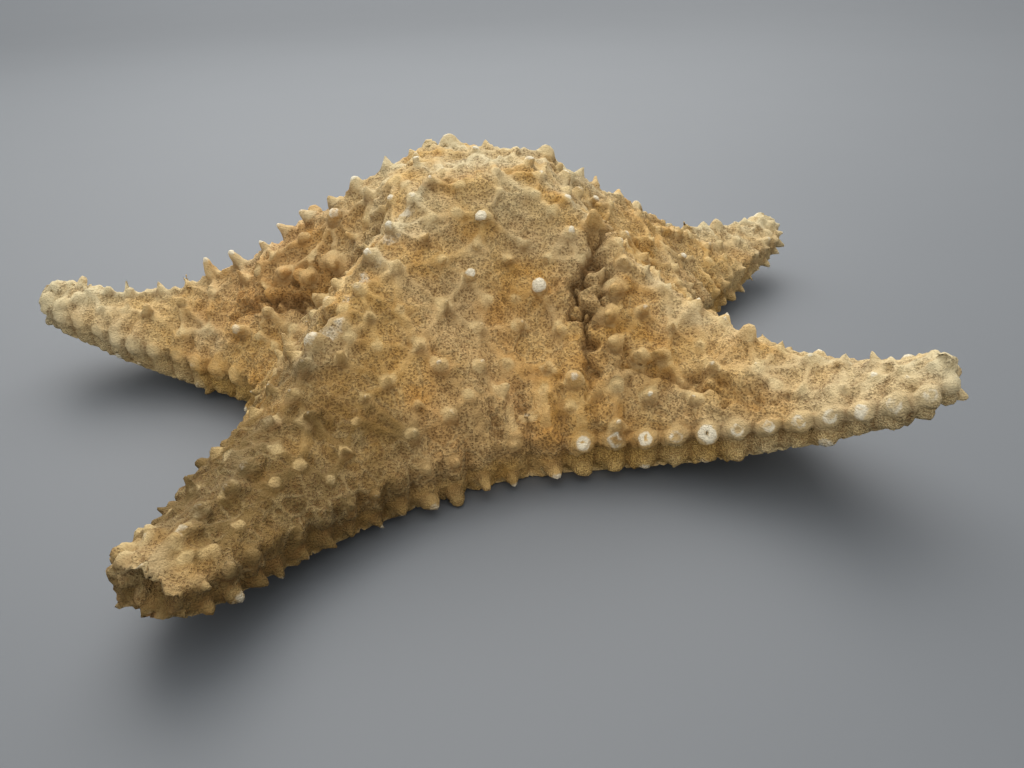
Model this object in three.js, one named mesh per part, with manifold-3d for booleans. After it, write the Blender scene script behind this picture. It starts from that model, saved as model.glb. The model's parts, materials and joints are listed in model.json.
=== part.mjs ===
// Dried cushion sea star: one grown body with a high domed disc, five blunt arms that curl up at
// their tips, rows of conical knobs on top, marginal spines, and a flat underside with a groove
// along each arm. Millimetres, +Z up, resting on z = 0, origin under the middle of its box.
import * as THREE from "three";
import { mergeVertices } from "three/addons/utils/BufferGeometryUtils.js";
import Module from "manifold-3d";

// Disc: its centre is at (0, 0) until the finished body is moved over the origin.
const DISC_HEIGHT = 56;
const NOTCH_RADIUS = 60; // centre to the margin halfway between two arms
const NOTCH_HEIGHT = 11.5; // height of that margin
const DISC_TO_ARM = [0.65, 1.15]; // shares of the way to a notch over which the section turns arm-like

// Arms, counter-clockwise from above. azimuth is in degrees from +X, length is centre to tip,
// lift is how far the tip curls up, and sway is how far it bends sideways.
const ARMS = [
  { name: "front_left", azimuth: -119.5, length: 120, lift: 11, sway: 9.5 },
  { name: "front_right", azimuth: -36, length: 115, lift: 24.5, sway: -4 },
  { name: "right", azimuth: 33, length: 116, lift: 10.5, sway: 2 },
  { name: "back", azimuth: 103, length: 118, lift: 14, sway: 0 },
  { name: "left", azimuth: 177.5, length: 115, lift: 16.5, sway: 0.5 },
];
const ARM_HALF_WIDTH = 23; // where the arm leaves the disc
const TIP_HALF_WIDTH = 6.6;
const CURL_START = 0.43; // share of an arm's length that lies flat
const CURL_POWER = 1.8;
const SWAY_POWER = 2;
const STEP_CROWDING = 1.35; // crowds the outline's points towards the tips
const ARM_ROUNDING = 1.35; // 1 would make the arm's cross-section a plain roof

// Heights along an arm as [share of its length, height] before it curls.
const RIDGE = [[0, DISC_HEIGHT], [0.16, 54.5], [0.33, 43], [0.5, 31], [0.75, 16.3], [1, 8.8]];
const MARGIN = [[0.4, NOTCH_HEIGHT], [0.75, 8.6], [1, 5.8]];
// Heights from the centre to the notch as [share of the notch radius, height].
const VALLEY = [[0, DISC_HEIGHT], [0.33, 53.5], [0.6, 33], [0.85, 17.5], [1, NOTCH_HEIGHT]];

// Rounded side wall and underside.
const WALL_BULGE = 1.4;
const BULGE_LEVEL = 0.55; // share of the margin's height
const WALL_CHAMFER = 1.2;
const GROOVE_HALF_WIDTH = 4;
const GROOVE_DEPTH = 3.5;
const GROOVE_FADE = [0.75, 0.92]; // shares of an arm's length over which its groove runs out
const MOUTH_RADIUS = 9;
const MOUTH_DEPTH = 7;

// Grid: steps from a notch to a tip, and rows from the top of the disc to the mouth.
const STEPS_PER_SIDE = 9;
const TOP_ROWS = 10;
const FLOOR_SHARES = [0.8, 0.6, 0.42, 0.26, 0.14, 0.06];

// Knobs and spines: cones, sunk into the skin at their foot.
const CONE_SIDES = 6;
const CONE_SINK = 1.5;
const RIDGE_KNOB = { radius: 2.6, height: 3.2, spacing: 9 };
const FLANK_KNOB = { radius: 2.2, height: 2.4, spacing: 12 };
const MARGIN_SPINE = { radius: 1.9, height: 2.8, spacing: 7.5 };
const RIDGE_KNOB_START = 0.17;
const FLANK_KNOB_START = 0.3;
const FLANK_SHARE = 0.5; // where the flank row runs between ridge and margin
const KNOB_END = 0.93;
const SPINE_LEVEL = 0.45; // share of the margin's height

const SHELL_COLOUR = 0xb4915f;

const wasm = await Module();
wasm.setup();

// Height at x on a smooth curve through the knots, flat beyond both ends.
function curveThrough(knots, x) {
  const last = knots.length - 1;
  if (x <= knots[0][0]) return knots[0][1];
  if (x >= knots[last][0]) return knots[last][1];
  const slope = (i) => {
    const a = knots[Math.max(i - 1, 0)];
    const b = knots[Math.min(i + 1, last)];
    return (b[1] - a[1]) / (b[0] - a[0]);
  };
  const i = knots.findIndex((knot) => knot[0] > x) - 1;
  const span = knots[i + 1][0] - knots[i][0];
  const t = (x - knots[i][0]) / span;
  const rise = t * t * (3 - 2 * t);
  const fromStart = t * (1 - t) * (1 - t) * span * slope(i);
  const fromEnd = t * t * (t - 1) * span * slope(i + 1);
  return knots[i][1] + (knots[i + 1][1] - knots[i][1]) * rise + fromStart + fromEnd;
}

// Half the angle in radians between two arms, counter-clockwise from the first.
function halfGap(first, second) {
  const gap = THREE.MathUtils.euclideanModulo(second.azimuth - first.azimuth, 360);
  return THREE.MathUtils.degToRad(gap / 2);
}

// The two sides of an arm, each with its spread: the angle from the ridge to the notch beside it.
function sidesOf(index) {
  const arm = ARMS[index];
  const before = ARMS[(index + ARMS.length - 1) % ARMS.length];
  const after = ARMS[(index + 1) % ARMS.length];
  return [
    { arm, sign: -1, spread: halfGap(before, arm) },
    { arm, sign: 1, spread: halfGap(arm, after) },
  ];
}

// Half width of the body at a distance along the ridge.
function halfWidth(side, along) {
  const { length } = side.arm;
  const root = NOTCH_RADIUS * Math.cos(side.spread);
  if (along < root) return along * Math.tan(side.spread);
  const notch = NOTCH_RADIUS * Math.sin(side.spread);
  const taper = (ARM_HALF_WIDTH - TIP_HALF_WIDTH) / (length - root);
  const fillet = (notch - ARM_HALF_WIDTH) / (1 / Math.tan(side.spread) - taper);
  const width = ARM_HALF_WIDTH - taper * (along - root)
    + (notch - ARM_HALF_WIDTH) * Math.exp(-(along - root) / fillet);
  const past = THREE.MathUtils.clamp((along - length + TIP_HALF_WIDTH) / TIP_HALF_WIDTH, 0, 1);
  return width * Math.sqrt(1 - past * past);
}

// Height of the margin at a distance along the ridge; on the disc it is the valley between two arms.
function marginHeight(side, along) {
  const root = NOTCH_RADIUS * Math.cos(side.spread);
  if (along < root) return curveThrough(VALLEY, along / root);
  return curveThrough(MARGIN, along / side.arm.length);
}

// Height of the top skin, before the curl, at a distance along the ridge and a share of the width.
function topHeight(side, along, share) {
  const root = NOTCH_RADIUS * Math.cos(side.spread);
  const margin = marginHeight(side, along);
  const ridge = curveThrough(RIDGE, along / side.arm.length);
  const onDisc = 1 - THREE.MathUtils.smoothstep(along / root, ...DISC_TO_ARM);
  const armSection = 1 - Math.pow(share, ARM_ROUNDING);
  const discSection = 0.5 + 0.5 * Math.cos(Math.PI * share);
  return margin + (ridge - margin) * THREE.MathUtils.lerp(armSection, discSection, onDisc);
}

// Height of the underside: flat, with a groove under each ridge and the mouth in the middle.
function floorHeight(side, along, across) {
  const radius = Math.hypot(along, across);
  const mouth = MOUTH_DEPTH * (1 - THREE.MathUtils.smoothstep(radius, 0, MOUTH_RADIUS));
  const fade = 1 - THREE.MathUtils.smoothstep(along / side.arm.length, ...GROOVE_FADE);
  const groove = GROOVE_DEPTH * fade * Math.max(0, 1 - across / GROOVE_HALF_WIDTH);
  return Math.max(mouth, groove);
}

// A point of an arm's own straight, flat frame, curled and turned to its place.
function placed(side, along, across, height) {
  const { arm, sign } = side;
  const share = Math.max(0, (along / arm.length - CURL_START) / (1 - CURL_START));
  const sideways = sign * across + arm.sway * Math.pow(share, SWAY_POWER);
  const point = new THREE.Vector3(along, sideways, height + arm.lift * Math.pow(share, CURL_POWER));
  return point.applyAxisAngle(new THREE.Vector3(0, 0, 1), THREE.MathUtils.degToRad(arm.azimuth));
}

// The outline as meridians of the body, counter-clockwise: up one side of each arm, down the other.
function meridians() {
  const list = [];
  ARMS.forEach((arm, index) => {
    for (const side of sidesOf(index)) {
      const root = NOTCH_RADIUS * Math.cos(side.spread);
      for (let step = 0; step < STEPS_PER_SIDE; step += 1) {
        const share = (side.sign < 0 ? step : STEPS_PER_SIDE - step) / STEPS_PER_SIDE;
        const along = root + (arm.length - root) * (1 - Math.pow(1 - share, STEP_CROWDING));
        list.push({ side, along, across: halfWidth(side, along) });
      }
    }
  });
  return list;
}

// Points of one meridian from the top of the disc, over the margin and under to the mouth.
function meridianPoints({ side, along, across }) {
  const points = [];
  const margin = marginHeight(side, along);
  for (let row = 0; row <= TOP_ROWS; row += 1) {
    const share = row / TOP_ROWS;
    const width = halfWidth(side, along * share);
    const lateral = width > 0 ? Math.min(1, (across * share) / width) : 0;
    points.push(placed(side, along * share, across * share, topHeight(side, along * share, lateral)));
  }
  const outward = 1 + WALL_BULGE / Math.hypot(along, across);
  const inward = 1 - WALL_CHAMFER / Math.hypot(along, across);
  points.push(placed(side, along * outward, across * outward, margin * BULGE_LEVEL));
  points.push(placed(side, along, across, WALL_CHAMFER));
  for (const share of [inward, ...FLOOR_SHARES, 0]) {
    const height = floorHeight(side, along * share, across * share);
    points.push(placed(side, along * share, across * share, height));
  }
  return points;
}

// A closed geometry as a solid that can be joined to others.
function solidOf(geometry) {
  geometry.deleteAttribute("normal");
  geometry.deleteAttribute("uv");
  const merged = mergeVertices(geometry, 1e-4);
  const mesh = new wasm.Mesh({
    numProp: 3,
    vertProperties: new Float32Array(merged.attributes.position.array),
    triVerts: new Uint32Array(merged.index.array),
  });
  return new wasm.Manifold(mesh);
}

// The body: a sphere's grid of meridians and rows, drawn out onto the star.
function body() {
  const columns = meridians().map(meridianPoints);
  const rows = columns[0].length - 1;
  const geometry = new THREE.SphereGeometry(1, columns.length, rows);
  const position = geometry.attributes.position;
  for (let i = 0; i < position.count; i += 1) {
    const column = columns[i % (columns.length + 1) % columns.length];
    const point = column[Math.floor(i / (columns.length + 1))];
    position.setXYZ(i, point.x, point.y, point.z);
  }
  return solidOf(geometry);
}

// A cone standing on the skin at a point, its foot sunk in.
function cone(foot, direction, { radius, height }) {
  const geometry = new THREE.ConeGeometry(radius, height + CONE_SINK, CONE_SIDES);
  geometry.translate(0, (height - CONE_SINK) / 2, 0);
  geometry.applyQuaternion(new THREE.Quaternion().setFromUnitVectors(new THREE.Vector3(0, 1, 0), direction));
  geometry.translate(foot.x, foot.y, foot.z);
  return solidOf(geometry);
}

// A knob on the top skin, square to it.
function knob(side, along, share, size) {
  const at = (a, s) => placed(side, a, s * halfWidth(side, a), topHeight(side, a, s));
  const step = 0.02;
  const foot = at(along, share);
  const lengthwise = at(along + step * side.arm.length, share).sub(foot);
  const crosswise = at(along, share + step).sub(foot).multiplyScalar(side.sign);
  return cone(foot, lengthwise.cross(crosswise).normalize(), size);
}

// Knobs in a row along an arm, at a share of the way from its ridge to its margin.
function knobRow(side, start, share, size) {
  const knobs = [];
  const { length } = side.arm;
  for (let along = start * length; along < KNOB_END * length; along += size.spacing) {
    knobs.push(knob(side, along, share, size));
  }
  return knobs;
}

// Spines along one side's margin, from beside the notch to the tip, pointing outward.
function spineRow(side) {
  const spines = [];
  const root = NOTCH_RADIUS * Math.cos(side.spread);
  for (let along = root + MARGIN_SPINE.spacing / 2; along < side.arm.length - TIP_HALF_WIDTH;
    along += MARGIN_SPINE.spacing) {
    const height = marginHeight(side, along) * SPINE_LEVEL;
    const foot = placed(side, along, halfWidth(side, along) + WALL_BULGE / 2, height);
    const ahead = placed(side, along + 1, halfWidth(side, along + 1) + WALL_BULGE / 2, height);
    const outward = ahead.sub(foot).cross(new THREE.Vector3(0, 0, side.sign)).negate();
    spines.push(cone(foot, outward.setZ(0).normalize(), MARGIN_SPINE));
  }
  return spines;
}

// Every knob and spine of the star.
function ornaments() {
  return ARMS.flatMap((arm, index) => {
    const [right, left] = sidesOf(index);
    return [
      ...knobRow(left, RIDGE_KNOB_START, 0, RIDGE_KNOB),
      ...[right, left].flatMap((side) => knobRow(side, FLANK_KNOB_START, FLANK_SHARE, FLANK_KNOB)),
      ...[right, left].flatMap(spineRow),
    ];
  });
}

// The finished star, moved so that the origin is under the middle of its box.
function starfish() {
  const whole = ornaments().reduce((solid, piece) => solid.add(piece), body());
  const { vertProperties, triVerts } = whole.getMesh();
  const geometry = new THREE.BufferGeometry();
  geometry.setAttribute("position", new THREE.BufferAttribute(vertProperties, 3));
  geometry.setIndex(new THREE.BufferAttribute(triVerts, 1));
  geometry.computeBoundingBox();
  const middle = geometry.boundingBox.getCenter(new THREE.Vector3());
  geometry.translate(-middle.x, -middle.y, -geometry.boundingBox.min.z);
  geometry.computeVertexNormals();
  const material = new THREE.MeshStandardMaterial({ color: SHELL_COLOUR, roughness: 0.85, metalness: 0 });
  const mesh = new THREE.Mesh(geometry, material);
  mesh.name = "starfish";
  return mesh;
}

const part = new THREE.Group();
part.add(starfish());

export default part;
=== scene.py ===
"""Dried cushion sea star, lying on a pale floor with its arm tips curled up.

The dried skeleton is one body. Its form is worked out from a few driving dimensions, knobs and
spines are joined on, and the whole is remeshed and carved with the net of ridges between the
knobs, the marginal plates and the creases where the disc sank in as it dried.
"""
import json
import logging
import math
from dataclasses import dataclass, field, fields
from enum import Enum, IntEnum
from typing import Any, Sequence

import bpy
import numpy as np
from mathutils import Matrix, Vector
from mathutils.kdtree import KDTree

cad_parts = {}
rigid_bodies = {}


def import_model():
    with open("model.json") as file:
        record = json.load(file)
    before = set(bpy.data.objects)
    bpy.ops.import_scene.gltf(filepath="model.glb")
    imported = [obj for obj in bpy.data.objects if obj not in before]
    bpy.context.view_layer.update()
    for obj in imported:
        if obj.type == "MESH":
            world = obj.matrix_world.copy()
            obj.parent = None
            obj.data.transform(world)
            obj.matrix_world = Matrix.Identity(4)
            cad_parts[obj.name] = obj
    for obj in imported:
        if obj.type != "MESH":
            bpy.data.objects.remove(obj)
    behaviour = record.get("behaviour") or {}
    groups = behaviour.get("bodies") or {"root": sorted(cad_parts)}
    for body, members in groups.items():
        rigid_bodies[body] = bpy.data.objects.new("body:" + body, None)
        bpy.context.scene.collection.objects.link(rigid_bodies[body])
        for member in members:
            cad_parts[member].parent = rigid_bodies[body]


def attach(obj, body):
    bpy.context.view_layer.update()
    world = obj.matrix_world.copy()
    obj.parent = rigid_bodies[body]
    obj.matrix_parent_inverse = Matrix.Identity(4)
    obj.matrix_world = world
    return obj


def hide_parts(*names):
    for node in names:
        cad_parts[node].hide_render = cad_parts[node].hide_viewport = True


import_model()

Array = np.ndarray
Knots = Sequence[tuple[float, float]]

LOG = logging.getLogger("sea_star")
MM = 0.001
SEED = 11
UP = np.array([0.0, 0.0, 1.0])


class Variation(IntEnum):
    """Seeds of the smooth noises, one for each thing that varies over the skin."""

    BULGES = 3
    LUMPS = 4
    GRAINS = 5
    PORE_FIELDS = 6
    CREASE_X = 7
    CREASE_Y = 8
    PALE_CLOUDS = 9
    PALE_EDGE = 10
    WARM_CLOUDS = 12
    SWELLS = 13
    BREAK = 14
    RIB_LENGTHS = 15
    OLIVE_EDGE = 16
    FROST = 17
    BOSSES = 18
    SEAM_ROWS = 19
    SEAM_COUNTS = 20


def smoothstep(value: Array, low: float, high: float) -> Array:
    """Ease from 0 to 1 between two limits.

    Args:
        value: Numbers to ease.
        low: Where the result is 0.
        high: Where the result is 1.

    Returns:
        The eased numbers.
    """
    share = np.clip((value - low) / (high - low), 0.0, 1.0)
    return share * share * (3.0 - 2.0 * share)


def bell(distance: Array, width: float | Array) -> Array:
    """Give a bell curve that is 1 at zero distance.

    Args:
        distance: Distances.
        width: Distance at which the curve has fallen to 0.37.

    Returns:
        The curve's value at each distance.
    """
    return np.exp(-((distance / width) ** 2))


def curve_through(knots: Knots, value: Array) -> Array:
    """Follow a smooth curve through knots, flat beyond both ends.

    Args:
        knots: Pairs of position and height, in rising order.
        value: Positions to read.

    Returns:
        The height at each position.
    """
    places = np.array([knot[0] for knot in knots])
    heights = np.array([knot[1] for knot in knots])
    before = np.maximum(np.arange(len(knots)) - 1, 0)
    after = np.minimum(np.arange(len(knots)) + 1, len(knots) - 1)
    slopes = (heights[after] - heights[before]) / (places[after] - places[before])
    held = np.clip(value, places[0], places[-1])
    left = np.clip(np.searchsorted(places, held, side="right") - 1, 0, len(knots) - 2)
    span = places[left + 1] - places[left]
    share = (held - places[left]) / span
    rise = share * share * (3.0 - 2.0 * share)
    from_start = share * (1.0 - share) ** 2 * span * slopes[left]
    from_end = share * share * (share - 1.0) * span * slopes[left + 1]
    return heights[left] + (heights[left + 1] - heights[left]) * rise + from_start + from_end


@dataclass(frozen=True)
class Wobble:
    """Smooth seeded noise made of plane waves in random directions.

    Attributes:
        wavelength: Typical size of a bump, in millimetres.
        seed: Seed of the wave directions and phases.
        waves: How many waves are added up.
    """

    wavelength: float
    seed: int
    waves: int = 18

    def at(self, points: Array) -> Array:
        """Read the noise at points, with a spread of about 1.

        Args:
            points: Positions as rows of x, y, z in millimetres.

        Returns:
            One number for each point.
        """
        rng = np.random.default_rng(self.seed)
        direction = rng.normal(size=(self.waves, 3))
        direction /= np.linalg.norm(direction, axis=1, keepdims=True)
        length = self.wavelength * rng.uniform(0.7, 1.5, self.waves)
        phase = rng.uniform(0.0, 2.0 * math.pi, self.waves)
        total = np.zeros(len(points))
        for index in range(self.waves):
            turn = 2.0 * math.pi / length[index]
            total += np.sin(points @ (direction[index] * turn) + phase[index])
        return total * math.sqrt(2.0 / self.waves)


@dataclass(frozen=True)
class Arm:
    """One arm of the star.

    Attributes:
        name: Where the arm points, seen from above with the two front arms towards -Y.
        azimuth: Direction in degrees counter-clockwise from +X.
        length: Centre of the disc to the tip, in millimetres.
        lift: How far the tip curls up, in millimetres.
        sway: How far the tip bends sideways, in millimetres.
        rugged: How strong its ridges and knobs are against those of the others.
        bleached: How far its outer half has bleached to cream, from 0 to 1.
        warmth: How much orange brown its inner half keeps, from 0 to 1.
        olive: How much painted shade darkens its outer half to a dark brown, from 0 to 1.
        swollen_side: Side whose marginal plates are swollen, 0 right or 1 left looking outward.
        swelling: How strongly those plates are swollen, from 0 to 1.
        worn: Share of those plates that are worn white.
        blunt: Share of its knobs whose tips are rounded.
        broken: Whether its very tip has broken off.
    """

    name: str
    azimuth: float
    length: float
    lift: float
    sway: float
    rugged: float = 1.0
    bleached: float = 0.6
    warmth: float = 0.0
    olive: float = 0.0
    swollen_side: int | None = None
    swelling: float = 1.0
    worn: float = 0.8
    blunt: float = 0.25
    broken: bool = False


ARMS = (
    Arm("front_left", -119.5, 120.0, 11.0, 9.5, rugged=1.1, bleached=0.1, olive=1.0, blunt=0.5,
        broken=True),
    Arm("front_right", -36.0, 115.0, 24.5, -4.0, rugged=0.9, swollen_side=0),
    Arm("right", 33.0, 116.0, 10.5, 2.0, warmth=0.1),
    Arm("back", 103.0, 118.0, 14.0, 0.0, rugged=1.25, warmth=0.2, blunt=0.35),
    Arm("left", 177.5, 115.0, 16.5, 0.5, rugged=1.45, bleached=0.8, warmth=0.7, swollen_side=1,
        swelling=0.6, worn=0.0, blunt=0.7),
)


@dataclass
class Spot:
    """Places on the star in its arms' own straight, flat frames.

    Attributes:
        arm: Index of the arm of each place.
        side: 0 right of the arm's ridge, 1 left of it, looking outward.
        along: Distance from the centre along the ridge, in millimetres.
        across: Distance from the ridge, in millimetres.
        height: Height over the underside before the curl, in millimetres.
    """

    arm: Array
    side: Array
    along: Array
    across: Array
    height: Array

    @classmethod
    def one(cls, arm: int, side: int, along: float, across: float = 0.0) -> "Spot":
        """Give a single place at the height of the underside."""
        return cls(*(np.array([part]) for part in (arm, side, along, across, 0.0)))


@dataclass
class StarForm:
    """The smooth form of the star, in millimetres around the disc's centre.

    Attributes:
        arms: The arms, counter-clockwise.
        notch_radius: Centre to the margin halfway between two arms.
        arm_half_width: Half width where an arm leaves the disc.
        tip_half_width: Half width just behind the tip.
        curl_start: Share of an arm's length that lies flat.
        curl_power: How late the tip curls up, where 1 is a straight slope.
        sway_power: How late the tip bends sideways, where 1 is a straight slope.
        arm_rounding: How round an arm is across, where 1 is a plain gable.
        crowding: How much closer evenly counted places stand towards a tip, where 1 is evenly.
        ridge: Height of the ridge against the share of the arm's length.
        margin: Height of the margin against the share of the arm's length.
        valley: Height halfway between two arms against the share of the notch radius.
        disc_to_arm: Shares of the notch distance over which the section turns arm-like.
        groove_half_width: Half width of the groove under an arm.
        groove_depth: Depth of that groove.
        mouth_radius: Radius of the mouth pit.
        mouth_depth: Depth of the mouth pit.
    """

    arms: tuple[Arm, ...] = ARMS
    notch_radius: float = 60.0
    arm_half_width: float = 23.0
    tip_half_width: float = 6.6
    curl_start: float = 0.43
    curl_power: float = 1.8
    sway_power: float = 2.0
    arm_rounding: float = 1.35
    crowding: float = 1.35
    ridge: Knots = ((0.0, 56.0), (0.16, 54.5), (0.33, 43.0), (0.5, 31.0), (0.75, 16.3), (1.0, 8.8))
    margin: Knots = ((0.4, 11.5), (0.75, 8.6), (1.0, 5.8))
    valley: Knots = ((0.0, 56.0), (0.33, 53.5), (0.6, 33.0), (0.85, 17.5), (1.0, 11.5))
    disc_to_arm: tuple[float, float] = (0.65, 1.15)
    groove_half_width: float = 4.0
    groove_depth: float = 3.5
    mouth_radius: float = 9.0
    mouth_depth: float = 7.0

    def __post_init__(self) -> None:
        """Work out the numbers that every arm and side needs."""
        self.azimuth = np.radians(self.every("azimuth"))
        self.length = self.every("length")
        self.lift = self.every("lift")
        self.sway = self.every("sway")
        gap = np.mod(np.roll(self.azimuth, -1) - self.azimuth, 2.0 * math.pi) / 2.0
        self.spread = np.stack([np.roll(gap, 1), gap], axis=1)
        self.root = self.notch_radius * np.cos(self.spread)

    def every(self, name: str) -> Array:
        """List one named number of every arm."""
        return np.array([getattr(arm, name) for arm in self.arms])

    def notch_to_tip(self, arm: int, side: int, share: Array) -> Array:
        """Give distances along an arm from its notch to its tip, closer together towards the tip.

        Args:
            arm: Index of the arm.
            side: 0 right of its ridge, 1 left of it.
            share: 0 at the notch, 1 at the tip.

        Returns:
            Distances along the ridge, in millimetres.
        """
        root = self.root[arm, side]
        return root + (self.length[arm] - root) * (1.0 - (1.0 - share) ** self.crowding)

    def half_width(self, spot: Spot) -> Array:
        """Give the half width of the body at each place's distance along its ridge.

        Args:
            spot: The places.

        Returns:
            Half widths in millimetres.
        """
        spread = self.spread[spot.arm, spot.side]
        root = self.root[spot.arm, spot.side]
        length = self.length[spot.arm]
        notch = self.notch_radius * np.sin(spread)
        taper = (self.arm_half_width - self.tip_half_width) / (length - root)
        fillet = (notch - self.arm_half_width) / (1.0 / np.tan(spread) - taper)
        beyond = np.maximum(spot.along - root, 0.0)
        width = self.arm_half_width - taper * beyond
        width = width + (notch - self.arm_half_width) * np.exp(-beyond / fillet)
        past = np.clip((spot.along - length + self.tip_half_width) / self.tip_half_width, 0.0, 1.0)
        width = width * np.sqrt(1.0 - past * past)
        return np.where(spot.along < root, spot.along * np.tan(spread), width)

    def margin_height(self, spot: Spot) -> Array:
        """Give the height of the margin, or of the valley between two arms on the disc.

        Args:
            spot: The places.

        Returns:
            Heights in millimetres, before the curl.
        """
        root = self.root[spot.arm, spot.side]
        inner = curve_through(self.valley, spot.along / root)
        outer = curve_through(self.margin, spot.along / self.length[spot.arm])
        return np.where(spot.along < root, inner, outer)

    def top_height(self, spot: Spot) -> Array:
        """Give the height of the top skin before the curl.

        Args:
            spot: The places.

        Returns:
            Heights in millimetres.
        """
        width = np.maximum(self.half_width(spot), 1e-6)
        share = np.clip(spot.across / width, 0.0, 1.0)
        margin = self.margin_height(spot)
        ridge = curve_through(self.ridge, spot.along / self.length[spot.arm])
        outward = spot.along / self.root[spot.arm, spot.side]
        on_disc = 1.0 - smoothstep(outward, *self.disc_to_arm)
        arm_section = 1.0 - share**self.arm_rounding
        disc_section = 0.5 + 0.5 * np.cos(math.pi * share)
        return margin + (ridge - margin) * (arm_section * (1.0 - on_disc) + disc_section * on_disc)

    def floor_height(self, spot: Spot) -> Array:
        """Give the height of the underside before the curl, with its grooves and mouth.

        Args:
            spot: The places.

        Returns:
            Heights in millimetres.
        """
        radius = np.hypot(spot.along, spot.across)
        mouth = self.mouth_depth * (1.0 - smoothstep(radius, 0.0, self.mouth_radius))
        fade = 1.0 - smoothstep(spot.along / self.length[spot.arm], 0.75, 0.92)
        groove = self.groove_depth * fade * np.maximum(0.0, 1.0 - spot.across / self.groove_half_width)
        return np.maximum(mouth, groove)

    def curled(self, spot: Spot) -> Array:
        """Give the share of the curled stretch that lies before each place."""
        share = spot.along / self.length[spot.arm]
        return np.maximum(0.0, (share - self.curl_start) / (1.0 - self.curl_start))

    def place(self, spot: Spot) -> Array:
        """Turn places in the arms' frames into points.

        Args:
            spot: The places.

        Returns:
            Points as rows of x, y, z in millimetres.
        """
        curled = self.curled(spot)
        sideways = np.where(spot.side > 0, spot.across, -spot.across)
        sideways = sideways + self.sway[spot.arm] * curled**self.sway_power
        angle = self.azimuth[spot.arm]
        x = spot.along * np.cos(angle) - sideways * np.sin(angle)
        y = spot.along * np.sin(angle) + sideways * np.cos(angle)
        z = spot.height + self.lift[spot.arm] * curled**self.curl_power
        return np.stack([x, y, z], axis=-1)

    def locate(self, points: Array) -> Spot:
        """Find the places of points in the arms' frames.

        Args:
            points: Points as rows of x, y, z in millimetres.

        Returns:
            Their places.
        """
        bearing = np.arctan2(points[:, 1], points[:, 0])
        start = self.azimuth - self.spread[:, 0]
        into = np.mod(bearing[:, None] - start[None, :], 2.0 * math.pi)
        arm = np.argmin(into, axis=1)
        angle = self.azimuth[arm]
        along = points[:, 0] * np.cos(angle) + points[:, 1] * np.sin(angle)
        sideways = points[:, 1] * np.cos(angle) - points[:, 0] * np.sin(angle)
        spot = Spot(arm, np.zeros(len(points), dtype=int), along, sideways, points[:, 2])
        curled = self.curled(spot)
        sideways = sideways - self.sway[arm] * curled**self.sway_power
        height = points[:, 2] - self.lift[arm] * curled**self.curl_power
        return Spot(arm, (sideways > 0).astype(int), along, np.abs(sideways), height)

    def skin(self, arm: int, side: int, along: Array, across: Array) -> Array:
        """Give points on the top skin of one side of an arm.

        Args:
            arm: Index of the arm.
            side: 0 right of its ridge, 1 left of it.
            along: Distances along the ridge, in millimetres.
            across: Distances from the ridge, in millimetres.

        Returns:
            Points, with x, y and z along the last axis.
        """
        along, across = np.broadcast_arrays(np.asarray(along, float), np.asarray(across, float))
        shape = along.shape
        spot = Spot(np.full(shape, arm), np.full(shape, side), along, across, np.zeros(shape))
        spot.height = self.top_height(spot)
        return self.place(spot)


@dataclass
class Rim:
    """The star's outline as a chain of points with its marginal plates counted off.

    Attributes:
        form: The star's form.
        steps: Points on each side of each arm.
        pitch: Length of a marginal plate at a notch, in millimetres.
        tip_pitch: Length of a marginal plate at a tip, in millimetres.
    """

    form: StarForm
    steps: int = 160
    pitch: float = 6.9
    tip_pitch: float = 4.6

    def __post_init__(self) -> None:
        """Trace the outline of every side from its notch to the tip."""
        self.spots: list[Spot] = []
        self.points: list[Array] = []
        self.counts: list[Array] = []
        for arm in range(len(self.form.arms)):
            for side in (0, 1):
                self._trace(arm, side)
        self.all_points = np.concatenate(self.points)
        self.all_counts = np.concatenate(self.counts)
        self.tree = KDTree(len(self.all_points))
        for index, point in enumerate(self.all_points):
            self.tree.insert((point[0], point[1], 0.0), index)
        self.tree.balance()

    def _trace(self, arm: int, side: int) -> None:
        """Trace one side and count its plates along the way.

        Args:
            arm: Index of the arm.
            side: 0 right of its ridge, 1 left of it.
        """
        along = self.form.notch_to_tip(arm, side, np.linspace(0.0, 1.0, self.steps))
        index = np.full(self.steps, arm)
        spot = Spot(index, np.full(self.steps, side), along, np.zeros(self.steps), np.zeros(self.steps))
        spot.across = self.form.half_width(spot)
        points = self.form.place(spot)
        step = np.linalg.norm(np.diff(points[:, :2], axis=0), axis=1)
        run = np.concatenate([[0.0], np.cumsum(step)])
        density = 1.0 / (self.pitch + (self.tip_pitch - self.pitch) * run / run[-1])
        count = np.concatenate([[0.0], np.cumsum(0.5 * (density[1:] + density[:-1]) * step)])
        self.spots.append(spot)
        self.points.append(points)
        self.counts.append(count * math.floor(count[-1]) / count[-1])

    def nearest(self, points: Array) -> tuple[Array, Array]:
        """Find how far points are from the outline, seen from above, and which plate is there.

        Args:
            points: Points as rows of x, y, z in millimetres.

        Returns:
            The distances, and the running plate count at the nearest outline point.
        """
        found = [self.tree.find((x, y, 0.0)) for x, y in points[:, :2]]
        index = np.array([item[1] for item in found])
        distance = np.array([item[2] for item in found])
        return distance, self.all_counts[index]

    def plate_middles(self) -> list[tuple[int, int, int, float]]:
        """List every plate.

        Returns:
            Arm, side, number and distance along the arm at its middle, for each plate.
        """
        middles = []
        for order, count in enumerate(self.counts):
            arm, side = divmod(order, 2)
            for number in range(int(round(count[-1]))):
                along = float(np.interp(number + 0.5, count, self.spots[order].along))
                middles.append((arm, side, number, along))
        return middles


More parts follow.
